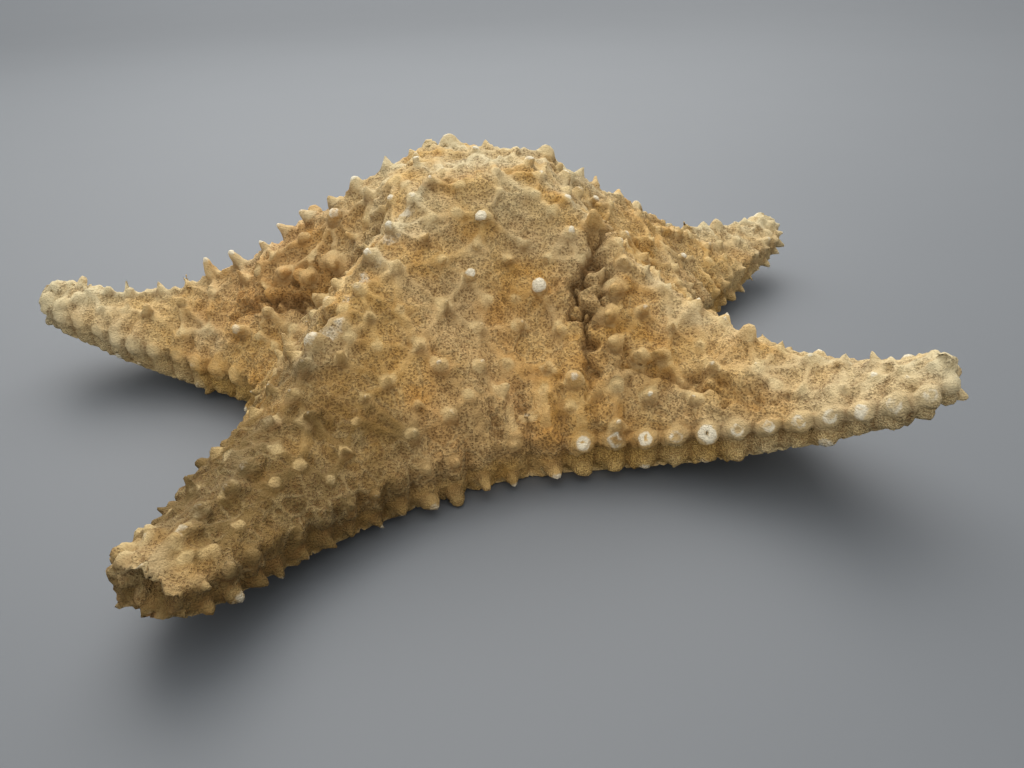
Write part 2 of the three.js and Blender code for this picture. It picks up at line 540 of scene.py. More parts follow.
class KnobShape(Enum):
    """Outlines of knobs as pairs of height share and radius share, from the sunk foot to the tip."""

    CONE = ((-0.35, 1.35), (0.0, 1.0), (0.2, 0.76), (0.5, 0.5), (0.8, 0.28), (0.96, 0.14), (1.0, 0.0))
    BLUNT = ((-0.35, 1.35), (0.0, 1.0), (0.28, 0.78), (0.6, 0.58), (0.86, 0.42), (0.97, 0.24), (1.0, 0.0))
    COLUMN = ((-0.35, 1.3), (0.0, 1.0), (0.25, 0.84), (0.8, 0.84), (0.96, 0.78), (1.0, 0.6), (0.96, 0.0))
    BOSS = ((-0.5, 1.15), (0.0, 1.0), (0.45, 0.9), (0.8, 0.72), (1.0, 0.52), (0.96, 0.36), (0.7, 0.22),
            (0.66, 0.0))
    TOOTH = ((-0.4, 1.1), (0.0, 1.0), (0.3, 0.82), (0.6, 0.54), (0.85, 0.3), (0.97, 0.15), (1.0, 0.0))


@dataclass(frozen=True)
class Knob:
    """A knob, tooth or worn boss that stands on the skin.

    Attributes:
        foot: Where it stands, in millimetres around the disc's centre.
        axis: Unit direction it points in.
        radius: Radius at the foot.
        height: Height over the skin.
        wear: 0 for a whole one, 1 for one whose tip is worn to bare white.
        shape: Its outline.
    """

    foot: Array
    axis: Array
    radius: float
    height: float
    wear: float
    shape: KnobShape

    def mesh(self, rng: np.random.Generator, sides: int = 14) -> tuple[Array, list[list[int]]]:
        """Build the knob as a small closed turned body.

        Args:
            rng: Source of its small irregularities.
            sides: Points around it.

        Returns:
            Vertices in millimetres, and faces as lists of vertex numbers.
        """
        turn = np.linspace(0.0, 2.0 * math.pi, sides, endpoint=False)
        across = np.cross(self.axis, UP if abs(self.axis[2]) < 0.9 else (1.0, 0.0, 0.0))
        across /= np.linalg.norm(across)
        other = np.cross(self.axis, across)
        spin = np.cos(turn)[:, None] * across + np.sin(turn)[:, None] * other
        phase = rng.uniform(0.0, 2.0 * math.pi, 2)
        ripple = 1.0 + 0.12 * np.sin(2.0 * turn + phase[0]) + 0.08 * np.sin(3.0 * turn + phase[1])
        lean = np.array([across, other]).T @ rng.normal(0.0, 0.09 * self.height, 2)
        rows = []
        for rise, reach in self.shape.value:
            middle = self.foot + self.axis * rise * self.height + max(rise, 0.0) * lean
            rows.append(middle + spin * (self.radius * reach * ripple)[:, None])
        tip = len(rows) - 1
        vertices = np.concatenate([*rows[:tip], rows[tip][:1]])
        ring = [[row * sides + step for step in range(sides)] for row in range(tip)]
        faces = [ring[0][::-1]]
        for low, high in zip(ring[:-1], ring[1:]):
            faces += [[low[i - 1], low[i], high[i], high[i - 1]] for i in range(sides)]
        faces += [[ring[-1][i - 1], ring[-1][i], tip * sides] for i in range(sides)]
        return vertices, faces


@dataclass
class Crowd:
    """Knobs that stand together.

    Attributes:
        knobs: The knobs.
    """

    knobs: list[Knob] = field(default_factory=list)

    def add(self, foot: Array, axis: Array, radius: float, height: float, wear: float,
            shape: KnobShape) -> None:
        """Add a knob that points along an axis of any length."""
        self.knobs.append(Knob(foot, axis / np.linalg.norm(axis), radius, height, wear, shape))

    def clear_of(self, point: Array, gap: float) -> bool:
        """Tell whether a point is at least a gap away from every knob."""
        return all(np.linalg.norm(knob.foot - point) >= gap for knob in self.knobs)

    def feet(self) -> Array:
        """Give the feet of all knobs as rows of x, y, z."""
        return np.array([knob.foot for knob in self.knobs])


@dataclass(frozen=True)
class KnobGroup:
    """Single knobs that stand out, placed one by one.

    Attributes:
        shape: Outline of each.
        radius: Radius at the foot, in millimetres.
        height: Height over the skin, in millimetres.
        wear: How white their tips are, from 0 to 1.
        lean: What is added to the skin's normal to give their direction.
        places: Where they stand seen from above, in millimetres around the disc's centre.
    """

    shape: KnobShape
    radius: float
    height: float
    wear: float
    lean: tuple[float, float, float]
    places: tuple[tuple[float, float], ...]


SINGLE_KNOBS = (
    KnobGroup(KnobShape.COLUMN, 1.5, 2.3, 0.9, (0.0, -0.2, 0.2),
              ((4, -24), (0, -32), (16, -32), (2, 5), (58, 21))),
    KnobGroup(KnobShape.BLUNT, 2.2, 2.5, 0.5, (0.0, 0.2, 0.4),
              ((-5, 15), (4, 14), (11, 17), (19, 11), (26, 3))),
    KnobGroup(KnobShape.COLUMN, 1.3, 2.4, 0.75, (0.0, 0.0, 0.3), ((-12, -6), (14, -7), (31, 9))),
    KnobGroup(KnobShape.BLUNT, 1.7, 2.3, 0.1, (0.0, -0.3, 0.0),
              ((9, -28), (2, -27), (13, -25), (20, -40), (17, -46))),
    KnobGroup(KnobShape.CONE, 1.9, 2.6, 0.5, (0.0, 0.0, 0.4),
              ((-5, -40), (2, -40), (11, -38), (-10, -50), (2, -49), (-16, -57), (-4, -59), (-11, -64),
               (12, -55))),
    KnobGroup(KnobShape.CONE, 2.4, 5.0, 0.2, (-0.7, -0.4, 0.0),
              ((33, -34), (31, -39), (32, -44), (37, -46), (42, -46), (35, -29), (29, -21))),
    KnobGroup(KnobShape.CONE, 1.9, 3.4, 0.6, (0.0, -0.2, 0.3),
              ((22, -50), (51, -50), (38, -53), (47, -55), (31, -57), (38, -38), (44, -41))),
    KnobGroup(KnobShape.BLUNT, 2.6, 4.0, 0.1, (0.3, -0.5, 0.0),
              ((-40, -12), (-36, -19), (-47, -9), (-33, -12))),
    KnobGroup(KnobShape.BLUNT, 2.0, 2.4, 0.7, (-0.6, -0.6, 0.2),
              ((-41, -85), (-44, -91), (-45, -96), (-39, -80), (-30, -67))),
)


@dataclass(frozen=True)
class PlateKnob:
    """A kind of knob that stands on the marginal plates.

    Attributes:
        shape: Outline of each.
        radius: Least and largest radius at the foot, in millimetres.
        height: Least and largest height over the wall, in millimetres.
        inset: How far the foot lies inside the margin, in millimetres.
        whiteness: How white a worn tip is against those of the other kinds.
    """

    shape: KnobShape
    radius: tuple[float, float]
    height: tuple[float, float]
    inset: float
    whiteness: float = 1.0


WORN_BOSS = PlateKnob(KnobShape.BOSS, (2.6, 3.1), (2.0, 2.6), 0.6, 1.3)
LOWER_LUMP = PlateKnob(KnobShape.BLUNT, (2.5, 2.9), (2.2, 2.9), 1.0)
UPPER_SPINE = PlateKnob(KnobShape.CONE, (1.6, 2.1), (2.3, 3.6), 0.3)
LOWER_TOOTH = PlateKnob(KnobShape.TOOTH, (2.1, 2.7), (3.9, 5.4), 1.2)


@dataclass(frozen=True)
class Crease:
    """A fold where the dried skin sank in.

    Attributes:
        path: Points along the fold seen from above, in millimetres around the disc's centre.
        depth: How deep it goes.
        width: Half width of the fold.
        shoulder: How far the skin beside it bulges up.
    """

    path: tuple[tuple[float, float], ...]
    depth: float
    width: float
    shoulder: float = 0.7

    def reach(self, points: Array) -> tuple[Array, Array]:
        """Find how far points are from the fold, seen from above, and how strong it is there.

        Args:
            points: Points as rows of x, y, z in millimetres.

        Returns:
            Distances in millimetres, and the fold's strength, from 1 in its middle to 0 at its ends.
        """
        path = np.array(self.path, float)
        best = np.full(len(points), 1e3)
        force = np.zeros(len(points))
        lengths = np.linalg.norm(np.diff(path, axis=0), axis=1)
        run = np.concatenate([[0.0], np.cumsum(lengths)]) / lengths.sum()
        for index in range(len(path) - 1):
            start, step = path[index], path[index + 1] - path[index]
            share = np.clip(((points[:, :2] - start) @ step) / (step @ step), 0.0, 1.0)
            gap = np.linalg.norm(points[:, :2] - start - share[:, None] * step, axis=1)
            place = run[index] + share * (run[index + 1] - run[index])
            force = np.where(gap < best, np.sqrt(np.clip(4.0 * place * (1.0 - place), 0.0, 1.0)), force)
            best = np.minimum(best, gap)
        return best, force


CREASES = (
    Crease(((33, -18), (29, -25), (29, -29), (24, -33), (23, -37), (25, -41), (26, -44), (25, -48),
            (26, -53)), 3.6, 1.3),
    Crease(((29, -28), (32, -34), (28, -38), (26, -42)), 2.8, 1.1),
    Crease(((26, -48), (34, -47.5), (41, -49), (48, -52), (56, -57), (64, -62)), 1.8, 1.2, 0.5),
    Crease(((-62, -9), (-53, -12), (-44, -15), (-36, -17), (-31, -15)), 3.0, 1.4),
    Crease(((-33, -41), (-31, -45), (-27, -47)), 3.0, 1.5),
    Crease(((-31, -15), (-25, -19), (-20, -18)), 2.2, 1.4),
    Crease(((-2, 30), (4, 41), (2, 50), (6, 60)), 2.4, 1.4),
    Crease(((38, 22), (46, 25), (57, 36), (70, 42)), 2.0, 1.3),
)


@dataclass
class KnobPlan:
    """Where the knobs and teeth stand.

    Attributes:
        form: The star's form.
        rim: The star's outline with its plates.
        row_gap: Distance between rows of knobs, in millimetres.
        knob_gap: Distance between knobs in a row, in millimetres.
        ridge_start: Distance from the centre at which the row on a ridge starts, in millimetres.
        last_knob: Share of an arm's length at which its rows end.
        ridge_radius: Radius of a knob on a ridge, in millimetres.
        ridge_height: Least and largest height of such a knob, in millimetres.
        ridge_clearance: How far such a knob keeps from the others, in millimetres.
        crown_radius: Distance from the centre within which those knobs are lower, in millimetres.
        flank_radius: Radius of a knob on a flank, in millimetres.
        flank_height: Least and largest height of such a knob, in millimetres.
        flank_clearance: How far such a knob keeps from the others, in millimetres.
        margin_clearance: How far such a knob keeps from the margin of an arm, in millimetres.
        valley_clearance: How far such a knob keeps from the valley between arms, in millimetres.
        tip_lumps: How many lumps are tried on the end of an arm.
        lump_radius: Least and largest radius of such a lump, in millimetres.
        lump_height: Least and largest height of such a lump, in millimetres.
        lump_clearance: How far such a lump keeps from the others, in millimetres.
        fillers: How many small knobs are tried in the gaps.
        filler_radius: Least and largest radius of a small knob, in millimetres.
        filler_height: Least and largest height of a small knob, in millimetres.
        filler_clearance: How far a small knob keeps from the others, in millimetres.
        crease_gap: How far the knobs of the rows and gaps keep from a crease, in millimetres.
        spine_chance: Share of plain plates with a spine over their tooth.
        seed: Seed of everything that differs from knob to knob.
    """

    form: StarForm
    rim: Rim
    row_gap: float = 6.364
    knob_gap: float = 9.0
    ridge_start: float = 13.0
    last_knob: float = 0.93
    ridge_radius: float = 2.5
    ridge_height: tuple[float, float] = (2.4, 4.0)
    ridge_clearance: float = 4.5
    crown_radius: float = 32.0
    flank_radius: float = 1.75
    flank_height: tuple[float, float] = (1.7, 3.0)
    flank_clearance: float = 5.6
    margin_clearance: float = 5.5
    valley_clearance: float = 0.5
    tip_lumps: int = 26
    lump_radius: tuple[float, float] = (1.3, 2.0)
    lump_height: tuple[float, float] = (0.9, 1.8)
    lump_clearance: float = 2.8
    fillers: int = 2600
    filler_radius: tuple[float, float] = (0.9, 1.5)
    filler_height: tuple[float, float] = (0.7, 1.8)
    filler_clearance: float = 5.4
    crease_gap: float = 2.4
    spine_chance: float = 0.65
    seed: int = SEED

    def build(self) -> tuple[Crowd, Crowd]:
        """Place all knobs.

        Returns:
            The knobs of the top skin, which ridges join, and those of the margin.
        """
        self.rng = np.random.default_rng(self.seed)
        self.top = Crowd()
        self.edge = Crowd()
        self._single()
        for arm in range(len(self.form.arms)):
            self._ridge_row(arm)
            for side in (0, 1):
                self._flank_rows(arm, side)
            self._crowd_tip(arm)
            LOG.info("%s arm: %d knobs placed so far", self.form.arms[arm].name, len(self.top.knobs))
        self._fill_gaps()
        for arm, side, number, along in self.rim.plate_middles():
            self._plate(arm, side, number, along)
        return self.top, self.edge

    def _single(self) -> None:
        """Place the knobs that stand out."""
        for group in SINGLE_KNOBS:
            for x, y in group.places:
                spot = self.form.locate(np.array([[float(x), float(y), 0.0]]))
                arm, side = int(spot.arm[0]), int(spot.side[0])
                along, across = float(spot.along[0]), float(spot.across[0])
                axis = self.normal(arm, side, along, across) + np.array(group.lean)
                size = self.rng.uniform(0.85, 1.15)
                self.top.add(self.form.skin(arm, side, along, across), axis, group.radius * size,
                             group.height * size, group.wear, group.shape)

    def _ridge_row(self, arm: int) -> None:
        """Place the row of large knobs along an arm's ridge.

        Args:
            arm: Index of the arm.
        """
        along = self.ridge_start
        while along < self.last_knob * self.form.length[arm]:
            across = self.rng.uniform(0.0, 1.5)
            side = int(self.rng.integers(0, 2))
            foot = self.form.skin(arm, side, along, across)
            size = self.rng.uniform(0.75, 1.1) * (1.0 - 0.3 * along / self.form.length[arm])
            axis = self.normal(arm, side, along, max(across, 0.3)) + self.rng.normal(0.0, 0.15, 3)
            tall = self.form.arms[arm].rugged * (0.62 if along < self.crown_radius else 1.0)
            shape = self._shape(arm)
            if self.top.clear_of(foot, self.ridge_clearance) and self._off_creases(foot):
                height = size * tall * self.rng.uniform(*self.ridge_height)
                self.top.add(foot, axis, size * self.ridge_radius, height, self._wear(0.45), shape)
            along += self.rng.uniform(5.6, 7.8)

    def _flank_rows(self, arm: int, side: int) -> None:
        """Place the staggered rows between a ridge and the margin.

        Args:
            arm: Index of the arm.
            side: 0 right of its ridge, 1 left of it.
        """
        for row in range(1, 6):
            along = 10.0 + (row % 2) * self.knob_gap / 2
            while along < self.last_knob * self.form.length[arm]:
                spot_along = along + self.rng.normal(0.0, 0.9)
                across = row * self.row_gap + self.rng.normal(0.0, 0.8)
                along += self.knob_gap * self.rng.uniform(0.85, 1.15)
                self._flank_knob(arm, side, spot_along, across)

    def _flank_knob(self, arm: int, side: int, along: float, across: float) -> None:
        """Add a flank knob if it has room on its own side of the valley or margin.

        Args:
            arm: Index of the arm.
            side: 0 right of its ridge, 1 left of it.
            along: Distance along the ridge, in millimetres.
            across: Distance from the ridge, in millimetres.
        """
        on_arm = along > self.form.root[arm, side]
        clearance = self.margin_clearance if on_arm else self.valley_clearance
        if self._room(arm, side, along, across) < clearance:
            return
        foot = self.form.skin(arm, side, along, across)
        if not self.top.clear_of(foot, self.flank_clearance) or not self._off_creases(foot):
            return
        lift = np.array([0.0, 0.0, 0.3]) + self.rng.normal(0.0, 0.18, 3)
        size = 0.75 + 0.45 * self.rng.random() ** 2
        height = size * self.form.arms[arm].rugged * self.rng.uniform(*self.flank_height)
        self.top.add(foot, self.normal(arm, side, along, across) + lift, size * self.flank_radius, height,
                     self._wear(0.3), self._shape(arm))

    def _crowd_tip(self, arm: int) -> None:
        """Crowd small rounded lumps on the end of an arm.

        Args:
            arm: Index of the arm.
        """
        length = self.form.length[arm]
        for _ in range(self.tip_lumps):
            along = float(self.rng.uniform(0.88, 0.985)) * length
            side = int(self.rng.integers(0, 2))
            across = float(self.rng.uniform(0.0, 0.9)) * self._room(arm, side, along, 0.0)
            foot = self.form.skin(arm, side, along, across)
            if self.top.clear_of(foot, self.lump_clearance):
                axis = self.normal(arm, side, along, across) + self.rng.normal(0.0, 0.3, 3)
                self.top.add(foot, axis, self.rng.uniform(*self.lump_radius),
                             self.rng.uniform(*self.lump_height), self._wear(0.4), KnobShape.BLUNT)

    def _fill_gaps(self) -> None:
        """Scatter small knobs in the gaps."""
        for _ in range(self.fillers):
            arm = int(self.rng.integers(0, len(self.form.arms)))
            side = int(self.rng.integers(0, 2))
            along = float(self.rng.uniform(4.0, 0.94 * self.form.length[arm]))
            width = self._room(arm, side, along, 0.0)
            across = float(self.rng.uniform(0.0, 1.0)) * width
            if width - across < 3.5 and along > self.form.root[arm, side]:
                continue
            foot = self.form.skin(arm, side, along, across)
            if self.top.clear_of(foot, self.filler_clearance) and self._off_creases(foot):
                axis = self.normal(arm, side, along, across) + self.rng.normal(0.0, 0.2, 3)
                self.top.add(foot, axis, self.rng.uniform(*self.filler_radius),
                             self.rng.uniform(*self.filler_height), 0.3, KnobShape.CONE)

    def _plate(self, arm: int, side: int, number: int, along: float) -> None:
        """Place what stands on one pair of marginal plates: a boss over a lump, or a spine over a tooth.

        Args:
            arm: Index of the arm.
            side: 0 right of its ridge, 1 left of it.
            number: Number of the plate, counted from the notch.
            along: Distance of its middle along the ridge, in millimetres.
        """
        owner = self.form.arms[arm]
        outward = self._outward(arm, side, along)
        size = 1.0 - 0.3 * along / owner.length
        if owner.swollen_side == side and number > 0:
            size *= 0.4 + 0.6 * owner.swelling
            upper = self._on_wall(arm, side, along, WORN_BOSS.inset, 0.78)
            self._stand(WORN_BOSS, upper, outward + 0.6 * UP, size, owner.worn)
            lower = self._on_wall(arm, side, along, LOWER_LUMP.inset, 0.25)
            self._stand(LOWER_LUMP, lower, outward - 0.4 * UP, size, 0.4)
            return
        if self.rng.random() < self.spine_chance:
            upper = self._on_wall(arm, side, along, UPPER_SPINE.inset, 0.85)
            self._stand(UPPER_SPINE, upper, outward + 0.5 * UP + self.rng.normal(0.0, 0.12, 3), size, 0.4)
        lower = self._on_wall(arm, side, along, LOWER_TOOTH.inset, self.rng.uniform(0.2, 0.4))
        self._stand(LOWER_TOOTH, lower, outward + self.rng.normal(0.0, 0.12, 3) - 0.45 * UP, size, 0.5)

    def _stand(self, kind: PlateKnob, foot: Array, axis: Array, size: float, worn: float) -> None:
        """Stand one knob on the side wall.

        Args:
            kind: What it looks like.
            foot: Where it stands, in millimetres.
            axis: Direction it points in, of any length.
            size: Its size against the others of its kind.
            worn: Chance that its tip is clearly worn.
        """
        radius = size * self.rng.uniform(*kind.radius)
        height = size * self.rng.uniform(*kind.height)
        self.edge.add(foot, axis, radius, height, kind.whiteness * self._wear(worn), kind.shape)

    def _shape(self, arm: int) -> KnobShape:
        """Draw whether a knob of an arm is pointed or rounded."""
        return KnobShape.BLUNT if self.rng.random() < self.form.arms[arm].blunt else KnobShape.CONE

    def _wear(self, chance: float) -> float:
        """Draw how worn a knob's tip is: clearly worn with the given chance, else hardly."""
        return float(self.rng.uniform(0.5, 0.85)) if self.rng.random() < chance else 0.35

    def _off_creases(self, foot: Array) -> bool:
        """Tell whether a place is out of every crease."""
        return all(crease.reach(foot[None, :])[0][0] > self.crease_gap for crease in CREASES)

    def _room(self, arm: int, side: int, along: float, across: float) -> float:
        """Give the distance from a place to the side edge of its arm's sector."""
        return float(self.form.half_width(Spot.one(arm, side, along, across))[0]) - across

    def normal(self, arm: int, side: int, along: float, across: float) -> Array:
        """Give the upward unit normal of the top skin.

        Args:
            arm: Index of the arm.
            side: 0 right of its ridge, 1 left of it.
            along: Distance along the ridge, in millimetres.
            across: Distance from the ridge, in millimetres.

        Returns:
            The normal as x, y, z.
        """
        step = 0.4
        here = self.form.skin(arm, side, along, across)
        lengthwise = self.form.skin(arm, side, along + step, across) - here
        crosswise = self.form.skin(arm, side, along, across + step) - here
        normal = np.cross(lengthwise, crosswise)
        normal = normal / max(np.linalg.norm(normal), 1e-9)
        return normal if normal[2] > 0 else -normal

    def _on_wall(self, arm: int, side: int, along: float, inset: float, level: float) -> Array:
        """Give a point on the side wall.

        Args:
            arm: Index of the arm.
            side: 0 right of its ridge, 1 left of it.
            along: Distance along the ridge, in millimetres.
            inset: How far the point lies inside the margin, in millimetres.
            level: Its height as a share of the wall's.

        Returns:
            The point as x, y, z in millimetres.
        """
        spot = Spot.one(arm, side, along)
        spot.across = self.form.half_width(spot) - inset
        spot.height = self.form.margin_height(spot) * level
        return self.form.place(spot)[0]

    def _outward(self, arm: int, side: int, along: float) -> Array:
        """Give the level unit direction that faces out of the margin.

        Args:
            arm: Index of the arm.
            side: 0 right of its ridge, 1 left of it.
            along: Distance along the ridge, in millimetres.

        Returns:
            The direction as x, y, z.
        """
        pair = np.array([along - 0.5, along + 0.5])
        spot = Spot(np.full(2, arm), np.full(2, side), pair, np.zeros(2), np.zeros(2))
        spot.across = self.form.half_width(spot)
        start, end = self.form.place(spot)
        tangent = (end - start) * np.array([1.0, 1.0, 0.0])
        outward = np.cross(tangent, UP)
        outward = outward if side == 0 else -outward
        return outward / np.linalg.norm(outward)


@dataclass
class Cells:
    """Points sorted into square columns, so that those near a place are found quickly.

    Attributes:
        points: Points as rows of x, y, z in millimetres.
        size: Side of a column in millimetres.
    """

    points: Array
    size: float = 4.0

    def __post_init__(self) -> None:
        """Sort the points by their column."""
        cells = np.floor(self.points[:, :2] / self.size).astype(int)
        self.low = cells.min(axis=0) - 1
        cells -= self.low
        self.columns = int(cells[:, 1].max()) + 3
        key = cells[:, 0] * self.columns + cells[:, 1]
        self.order = np.argsort(key, kind="stable")
        self.keys = key[self.order]

    def near(self, start: Array, end: Array, reach: float) -> Array:
        """Find the points around a stretch.

        Args:
            start: One end of the stretch.
            end: The other end.
            reach: How far beyond it to look, in millimetres.

        Returns:
            Numbers of all points in the columns that come that near.
        """
        first = np.floor((np.minimum(start, end)[:2] - reach) / self.size).astype(int) - self.low
        last = np.floor((np.maximum(start, end)[:2] + reach) / self.size).astype(int) - self.low
        first = np.maximum(first, 0)
        last = np.minimum(last, [self.keys[-1] // self.columns, self.columns - 1])
        picks = [np.empty(0, dtype=int)]
        for row in range(first[0], last[0] + 1):
            begin = np.searchsorted(self.keys, row * self.columns + first[1])
            finish = np.searchsorted(self.keys, row * self.columns + last[1] + 1)
            picks.append(self.order[begin:finish])
        return np.concatenate(picks)


@dataclass
class Net:
    """The net of low ridges that joins neighbouring knobs.

    Attributes:
        feet: Feet of the knobs, as rows of x, y, z in millimetres.
        longest: Longest ridge that is drawn, in millimetres.
        seed: Seed of the differences between ridges.
    """

    feet: Array
    longest: float = 13.0
    seed: int = SEED + 2

    def edges(self) -> list[tuple[int, int]]:
        """Join two knobs when no third one lies in the circle between them.

        Returns:
            Pairs of numbers of joined knobs.
        """
        gap = np.linalg.norm(self.feet[:, None] - self.feet[None, :], axis=2)
        pairs = []
        for first in range(len(self.feet)):
            for second in np.nonzero(gap[first] < self.longest)[0]:
                if second <= first:
                    continue
                inside = gap[first] ** 2 + gap[second] ** 2 < 0.94 * gap[first, second] ** 2
                inside[[first, second]] = False
                if not inside.any():
                    pairs.append((first, int(second)))
        return pairs

    def strength(self, cells: Cells, width: float) -> Array:
        """Measure how much of a ridge each point lies on.

        Args:
            cells: The points of the skin.
            width: Half width of a ridge.

        Returns:
            Up to 1 on the crest of a ridge, falling to 0 beside it. Some ridges are faint.
        """
        rng = np.random.default_rng(self.seed)
        strength = np.zeros(len(cells.points))
        for first, second in self.edges():
            force = min(1.0, rng.uniform(0.1, 1.3))
            broad = width * rng.uniform(0.7, 1.35)
            start, end = self.feet[first], self.feet[second]
            pick = cells.near(start, end, 2.8 * width)
            step = end - start
            share = np.clip(((cells.points[pick] - start) @ step) / (step @ step), 0.0, 1.0)
            gap = np.linalg.norm(cells.points[pick] - start - share[:, None] * step, axis=1)
            waist = broad * (1.0 + 0.5 * (2.0 * share - 1.0) ** 2)
            force = force * (0.72 + 0.28 * (2.0 * share - 1.0) ** 2)
            strength[pick] = np.maximum(strength[pick], force * bell(np.maximum(gap - 0.25, 0.0), waist))
        return strength


@dataclass
class Skin:
    """What the carving found out about every point of the skin, from 0 to 1 each.

    Attributes:
        relief: How far a point stands out on a ridge or knob.
        pores: How densely a point is pierced by pores.
        bare: How white and worn a point is.
        sunk: How deep a point lies in a fold, between plates or below a knob.
        gold: How much a point belongs to the granular marginal plates.
        under: How far a point belongs to the underside.
        pale: How bleached a point is, towards the arm tips and along the crests.
        warm: How much orange brown the skin keeps.
        olive: How much painted shade darkens a point on one arm's outer half.
    """

    relief: Array
    pores: Array
    bare: Array
    sunk: Array
    gold: Array
    under: Array
    pale: Array
    warm: Array
    olive: Array


@dataclass
class Carving:
    """Carves the fine surface into the points of the remeshed body.

    Attributes:
        form: The star's form.
        rim: Its outline with the plates counted off.
        top: Knobs of the top skin.
        edge: Knobs and teeth of the margin.
        points: Points of the skin as rows of x, y, z in millimetres.
        normals: Unit normal at each point.
        net_width: Half width of a ridge of the net, in millimetres.
        net_height: How far its crest rises from the skin between the ridges.
        net_sink: How far the skin between the ridges is pushed in.
        rib_reach: How far the ribs run up from the margin.
        long_rib_reach: How much further they run on the front face.
        rib_height: How far a rib rises from the seams beside it.
        rib_sink: How far those seams are pushed in.
        wall_sink: How far the wall around the swollen bosses is pushed in.
        boss_radius: Radius of a swollen boss.
        boss_height: Height of a swollen boss over that wall.
        boss_levels: Heights of the two rows of bosses, as shares of the margin's.
        front_azimuth: Direction of the smooth front face, in degrees.
        ribbed_azimuth: Direction of the face with the longest ribs, in degrees.
        crown_radius: Radius of the bleached crown.
        tile_depth: Depth of a row of small plates on the underside.
        tile_seam: Depth of the seams between them.
        comb_place: Distance of the comb-like edge of a groove from the groove's middle.
        comb_gap: Distance between two teeth of that comb.
        comb_depth: Depth of the gaps between the teeth.
        break_depth: How far behind the tip the broken arm ends.
        hollow_depth: How deep its broken end is hollowed out.
        hollow_radius: Radius of that hollow.
    """

    form: StarForm
    rim: Rim
    top: Crowd
    edge: Crowd
    points: Array
    normals: Array
    net_width: float = 0.8
    net_height: float = 1.6
    net_sink: float = 0.7
    rib_reach: float = 7.0
    long_rib_reach: float = 13.0
    rib_height: float = 1.7
    rib_sink: float = 1.0
    wall_sink: float = 1.7
    boss_radius: float = 3.0
    boss_height: float = 2.8
    boss_levels: tuple[float, float] = (0.24, 0.76)
    front_azimuth: float = -78.0
    ribbed_azimuth: float = -64.0
    crown_radius: float = 32.0
    tile_depth: float = 3.6
    tile_seam: float = 0.65
    comb_place: float = 5.2
    comb_gap: float = 2.3
    comb_depth: float = 0.8
    break_depth: float = 2.4
    hollow_depth: float = 3.5
    hollow_radius: float = 2.8

    def __post_init__(self) -> None:
        """Find each point's place on the star and beside its outline."""
        self.spot = self.form.locate(self.points)
        self.share = self.spot.along / self.form.length[self.spot.arm]
        self.radius = np.hypot(self.points[:, 0], self.points[:, 1])
        self.gap, self.count = self.rim.nearest(self.points)
        self.margin = self.form.margin_height(self.spot)
        self.under = smoothstep(-self.normals[:, 2], 0.35, 0.8)
        beside = 1.0 - smoothstep(self.gap, 1.8, 4.0)
        beside = beside * (1.0 - smoothstep(self.spot.height, self.margin - 0.5, self.margin + 1.5))
        self.wall = beside * (1.0 - self.under)
        self.top_skin = smoothstep(self.normals[:, 2], -0.1, 0.35) * (1.0 - self.wall)
        sides = np.array([-1 if arm.swollen_side is None else arm.swollen_side for arm in self.form.arms])
        on_side = sides[self.spot.arm] == self.spot.side
        self.swollen = self.own("swelling") * on_side * smoothstep(self.count, 0.6, 1.6)
        self.cells = Cells(self.points)

    def own(self, name: str) -> Array:
        """Give every point the named number of the arm it lies on."""
        return self.form.every(name)[self.spot.arm]

    def facing(self, azimuth: float, spread: float) -> Array:
        """Give 1 in one direction seen from the disc's centre, falling off beside it, in degrees."""
        bearing = np.degrees(np.arctan2(self.points[:, 1], self.points[:, 0]))
        return bell(np.mod(bearing - azimuth + 180.0, 360.0) - 180.0, spread)

    def noise(self, wavelength: float, variation: Variation) -> Array:
        """Give smooth noise with a spread of about 1 at every point."""
        return Wobble(wavelength, int(variation)).at(self.points)

    def carve(self) -> tuple[Array, Skin]:
        """Move the points of the skin in and out.

        Returns:
            The moved points, and what is known about each.
        """
        ridge = Net(self.top.feet()).strength(self.cells, self.net_width)
        on_knob, bare, shade = self._knob_reach()
        net_push = self._net(ridge)
        plate_push, seam, crest = self._plates()
        fold, sunk = self._folds()
        rough = 0.17 * self.noise(4.6, Variation.LUMPS) + 0.2 * self.noise(2.1, Variation.GRAINS)
        swell = 0.35 * self.noise(19.0, Variation.BULGES) + 0.2 * self.noise(10.0, Variation.SWELLS)
        push = (net_push + fold) * (1.0 - 0.85 * on_knob) + plate_push * (1.0 - 0.5 * on_knob)
        push += (1.0 - self.under) * (swell + rough * (1.0 - 0.7 * on_knob))
        furrowed, underside_shade = self._underside()
        push -= self.under * furrowed
        carved = self.points + self.normals * push[:, None]
        olive = self._olive()
        raised = self.top_skin * np.maximum(ridge * 0.75, crest * 0.6) + on_knob * 0.6
        # Painted shade in the creases and in the seams between marginal plates, less on knobs.
        hollow = np.maximum(sunk, 0.42 * seam) * (1.0 - 0.8 * on_knob)
        # Painted shadow below knobs, together with the painted shade of the underside's grooves and seams.
        painted_darkening = np.maximum(0.62 * shade, self.under * underside_shade)
        skin = Skin(
            relief=np.clip(raised, 0.0, 1.0),
            pores=self._pierced(ridge) * (1.0 - on_knob) * (1.0 - 0.8 * crest),
            # Worn tips show less white under the painted end shade.
            bare=np.maximum(bare * (1.0 - 0.35 * olive), self._frost() * (1.0 - 0.5 * on_knob)),
            sunk=np.clip(np.maximum(hollow, painted_darkening), 0.0, 1.0),
            gold=self._golden_wall(),
            under=self.under,
            pale=self._pale(),
            warm=self._warm(),
            olive=olive,
        )
        return self._broken_tip(carved), skin

